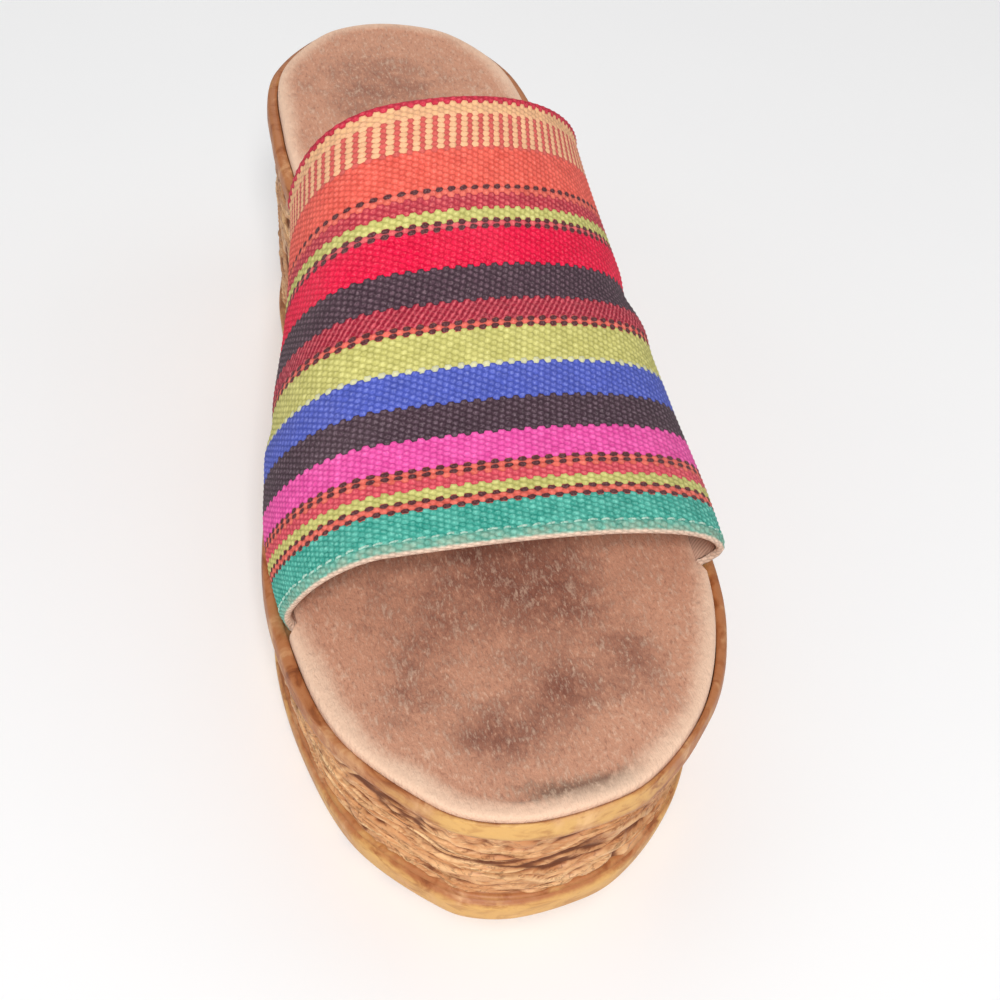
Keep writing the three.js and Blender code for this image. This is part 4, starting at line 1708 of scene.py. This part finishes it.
    def stitch_piece(self, grid: Array, normal: Array, at: Array, across: Array) -> Object:
        """Running stitch along the hem, as one mesh of short tubes."""
        row = int(np.argmin(np.abs(at * self.wide - self.stitch_from_edge)))
        line = grid[row] + normal[row] * (self.thickness(at, across)[row] + 0.02)[:, None]
        guides = (line, normal[row], unit(grid[row + 2] - grid[row]))
        draw = np.random.default_rng(51)
        points, faces = [], []
        first, last = -self.inner_pitches + 0.6, self.outer_pitches - 0.6
        for middle in np.arange(first, last, 1.0):
            reach = draw.uniform(*self.stitch_reach)
            slant = draw.uniform(-0.2, 0.2) + np.linspace(-0.5, 0.5, 7) * draw.uniform(-0.1, 0.7)
            shares = draw.uniform(-0.05, 0.05) + reach * np.array(self.stitch_steps)
            lift = np.array(self.stitch_lift) + draw.uniform(-0.06, 0.04)
            path, up, aside = (read_at(middle + shares, across, rows) for rows in guides)
            path = path + up * lift[:, None] + aside * slant[:, None]
            add_tube(points, faces, path, up, self.thread / 2)
        return mesh_of("hem_stitches", np.array(points), faces)


def border_ring(rows: int, columns: int, first: int) -> list[int]:
    """Vertex numbers round the border of a laid grid, in order."""
    at = (first + np.arange(rows * columns)).reshape(rows, columns)
    return np.concatenate([at[0], at[1:, -1], at[-1, -2::-1], at[-2:0:-1, 0]]).tolist()


def zip_rings(piece: Object, outer: list[int], inner: list[int]) -> None:
    """Closes the strip between two borders with different numbers of vertices.

    Args:
        piece: The joined piece.
        outer: The finer border.
        inner: The coarser border, starting at the same corner.
    """
    mesh = piece.data
    spots = np.array([vertex.co for vertex in mesh.vertices])
    far, near = (reach_of(spots[ring + ring[:1]]) for ring in (outer, inner))
    far, near = far / far[-1], near / near[-1]
    made, i, j = [], 0, 0
    while i < len(outer) or j < len(inner):
        if j == len(inner) or (i < len(outer) and far[i + 1] <= near[j + 1]):
            made.append((outer[i], outer[(i + 1) % len(outer)], inner[j % len(inner)]))
            i += 1
        else:
            made.append((outer[i % len(outer)], inner[(j + 1) % len(inner)], inner[j]))
            j += 1
    work = bmesh.new()
    work.from_mesh(mesh)
    work.verts.ensure_lookup_table()
    uv = work.loops.layers.uv.active
    for corners in made:
        face = work.faces.new([work.verts[k] for k in corners])
        face.material_index = 1
        for loop in face.loops:
            other = next(x for x in loop.vert.link_loops if x.face is not face)
            loop[uv].uv = other[uv].uv
    work.to_mesh(mesh)
    work.free()


def add_tube(points: list, faces: list, path: Array, up: Array, radius: float,
             sides: int = 6) -> None:
    """Adds a closed tube along a path.

    Args:
        points: Vertices so far, added to.
        faces: Faces so far, added to.
        path: Middle of the tube.
        up: A direction across it at each point.
        radius: Its radius.
        sides: Corners of its section.
    """
    first = len(points)
    along = unit(np.gradient(path, axis=0))
    side = unit(np.cross(along, up))
    over = np.cross(side, along)
    for k in range(len(path)):
        for corner in range(sides):
            angle = 2.0 * math.pi * corner / sides
            out = side[k] * math.cos(angle) + over[k] * math.sin(angle)
            points.append(path[k] + radius * out)
    for k in range(len(path) - 1):
        for corner in range(sides):
            a, b = first + k * sides + corner, first + k * sides + (corner + 1) % sides
            faces.append((a, b, b + sides, a + sides))
    faces.append(tuple(first + corner for corner in reversed(range(sides))))
    faces.append(tuple(first + (len(path) - 1) * sides + corner for corner in range(sides)))


# Studio


@dataclass(frozen=True)
class SoftLight:
    """A square soft light aimed at the shoe, with its side in metres and its power in watts."""

    name: str
    place: Triple
    size: float
    power: float
    aim: Triple = (0.0, 0.0, 0.04)

    def hang(self) -> None:
        """Adds the light."""
        data = bpy.data.lights.new(self.name, "AREA")
        data.size = self.size
        data.energy = self.power
        lamp = bpy.data.objects.new(self.name, data)
        lamp.location = self.place
        way = Vector(self.aim) - Vector(self.place)
        lamp.rotation_euler = way.to_track_quat("-Z", "Y").to_euler()
        bpy.context.collection.objects.link(lamp)


LIGHTS = (
    SoftLight("front_soft", (-0.20, -1.26, 1.24), 0.44, 25.5),
    SoftLight("left_soft", (-0.75, -0.10, 0.55), 0.6, 0.5),
    SoftLight("right_soft", (0.75, 0.05, 0.55), 0.6, 0.6),
    SoftLight("back_soft", (0.0, 0.85, 0.65), 0.7, 1.6),
)


@dataclass(frozen=True)
class Studio:
    """Pale floor, soft lights and the camera at the photograph's angle."""

    eye: Triple = (-0.06142, -0.32404, 0.30486)
    right: Triple = (0.99741, -0.065, -0.03085)
    down: Triple = (-0.06499, -0.63006, -0.77382)
    ahead: Triple = (0.03086, 0.77382, -0.63265)
    focal: float = 1492.3
    middle: tuple[float, float] = (710.5, 573.5)
    zoom: float = 1.20
    frame_size: float = 1000.0
    sensor: float = 36.0
    near: float = 0.01
    floor_size: float = 6.0
    floor_drop: float = 0.0004
    sky: float = 0.30

    def camera(self) -> None:
        """Turns the photograph's camera towards the shoe, and no further."""
        across = (self.middle[0] - self.frame_size / 2) / self.focal
        drop = (self.middle[1] - self.frame_size / 2) / self.focal
        right, down, ahead = (Vector(v) for v in (self.right, self.down, self.ahead))
        aim = (ahead + right * across + down * drop).normalized()
        turn = ahead.normalized().rotation_difference(aim)
        axes = Matrix((turn @ right, -(turn @ down), -aim)).transposed()
        data = bpy.data.cameras.new("photo_camera")
        data.sensor_width = self.sensor
        data.lens = self.focal * self.zoom * self.sensor / self.frame_size
        data.clip_start = self.near
        eye = bpy.data.objects.new("photo_camera", data)
        eye.matrix_world = Matrix.Translation(Vector(self.eye)) @ axes.to_4x4()
        bpy.context.collection.objects.link(eye)
        bpy.context.scene.camera = eye

    def build(self) -> None:
        """Sets floor, sky, lights and camera."""
        start_clean()
        bpy.ops.mesh.primitive_plane_add(size=self.floor_size,
                                         location=(0.0, 0.0, -self.floor_drop))
        floor = bpy.context.object
        floor.name = "studio_floor"
        floor.data.transform(floor.matrix_world)
        floor.matrix_world = Matrix.Identity(4)
        floor.data.materials.append(FloorFinish().build())
        world = bpy.data.worlds.new("studio")
        world.use_nodes = True
        background = world.node_tree.nodes["Background"].inputs
        background[0].default_value, background[1].default_value = WHITE, self.sky
        bpy.context.scene.world = world
        for light in LIGHTS:
            light.hang()
        bpy.context.scene.view_settings.view_transform = "Standard"
        self.camera()


# Assembly


def settle(piece: Object, slot: str, materials: Sequence[Material], *nodes: str) -> None:
    """Puts a piece on its body with its finish, in place of the CAD nodes that it stands for.

    Args:
        piece: The piece.
        slot: Material slot of the record; not used.
        materials: Its materials in order.
        nodes: CAD nodes that it replaces.
    """
    index = np.zeros(len(piece.data.polygons), dtype=np.int32)
    piece.data.polygons.foreach_get("material_index", index)
    piece.data.materials.clear()
    for material in materials:
        piece.data.materials.append(material)
    piece.data.polygons.foreach_set("material_index", index)
    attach(piece, "root")
    if nodes:
        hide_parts(*nodes)
    low, high = (Vector(c) for c in (piece.bound_box[0], piece.bound_box[6]))
    LOG.info("%s: %d vertices, %s mm", piece.name, len(piece.data.vertices),
             tuple(round(1000 * x, 1) for x in high - low))


def main() -> None:
    """Builds the sandal and the studio."""
    logging.basicConfig(level=logging.INFO, format="%(name)s %(message)s")
    last = Last()
    sole = MouldedSole(last)
    band = WovenBand(last, sole)
    insole = SuedeInsole(last, sole)
    settle(sole.build(), "sole", [BarkFinish().build()], "sole")
    pad = insole.build(band)
    settle(pad, "insole", [SuedeFinish().build()], "insole")
    cloth, stitches = band.build()
    settle(cloth, "woven_band", [ClothFinish().build(), LiningFinish().build()], "upper")
    settle(stitches, "woven_band", [ThreadFinish().build()])
    Studio().build()


if __name__ == "__main__":
    main()
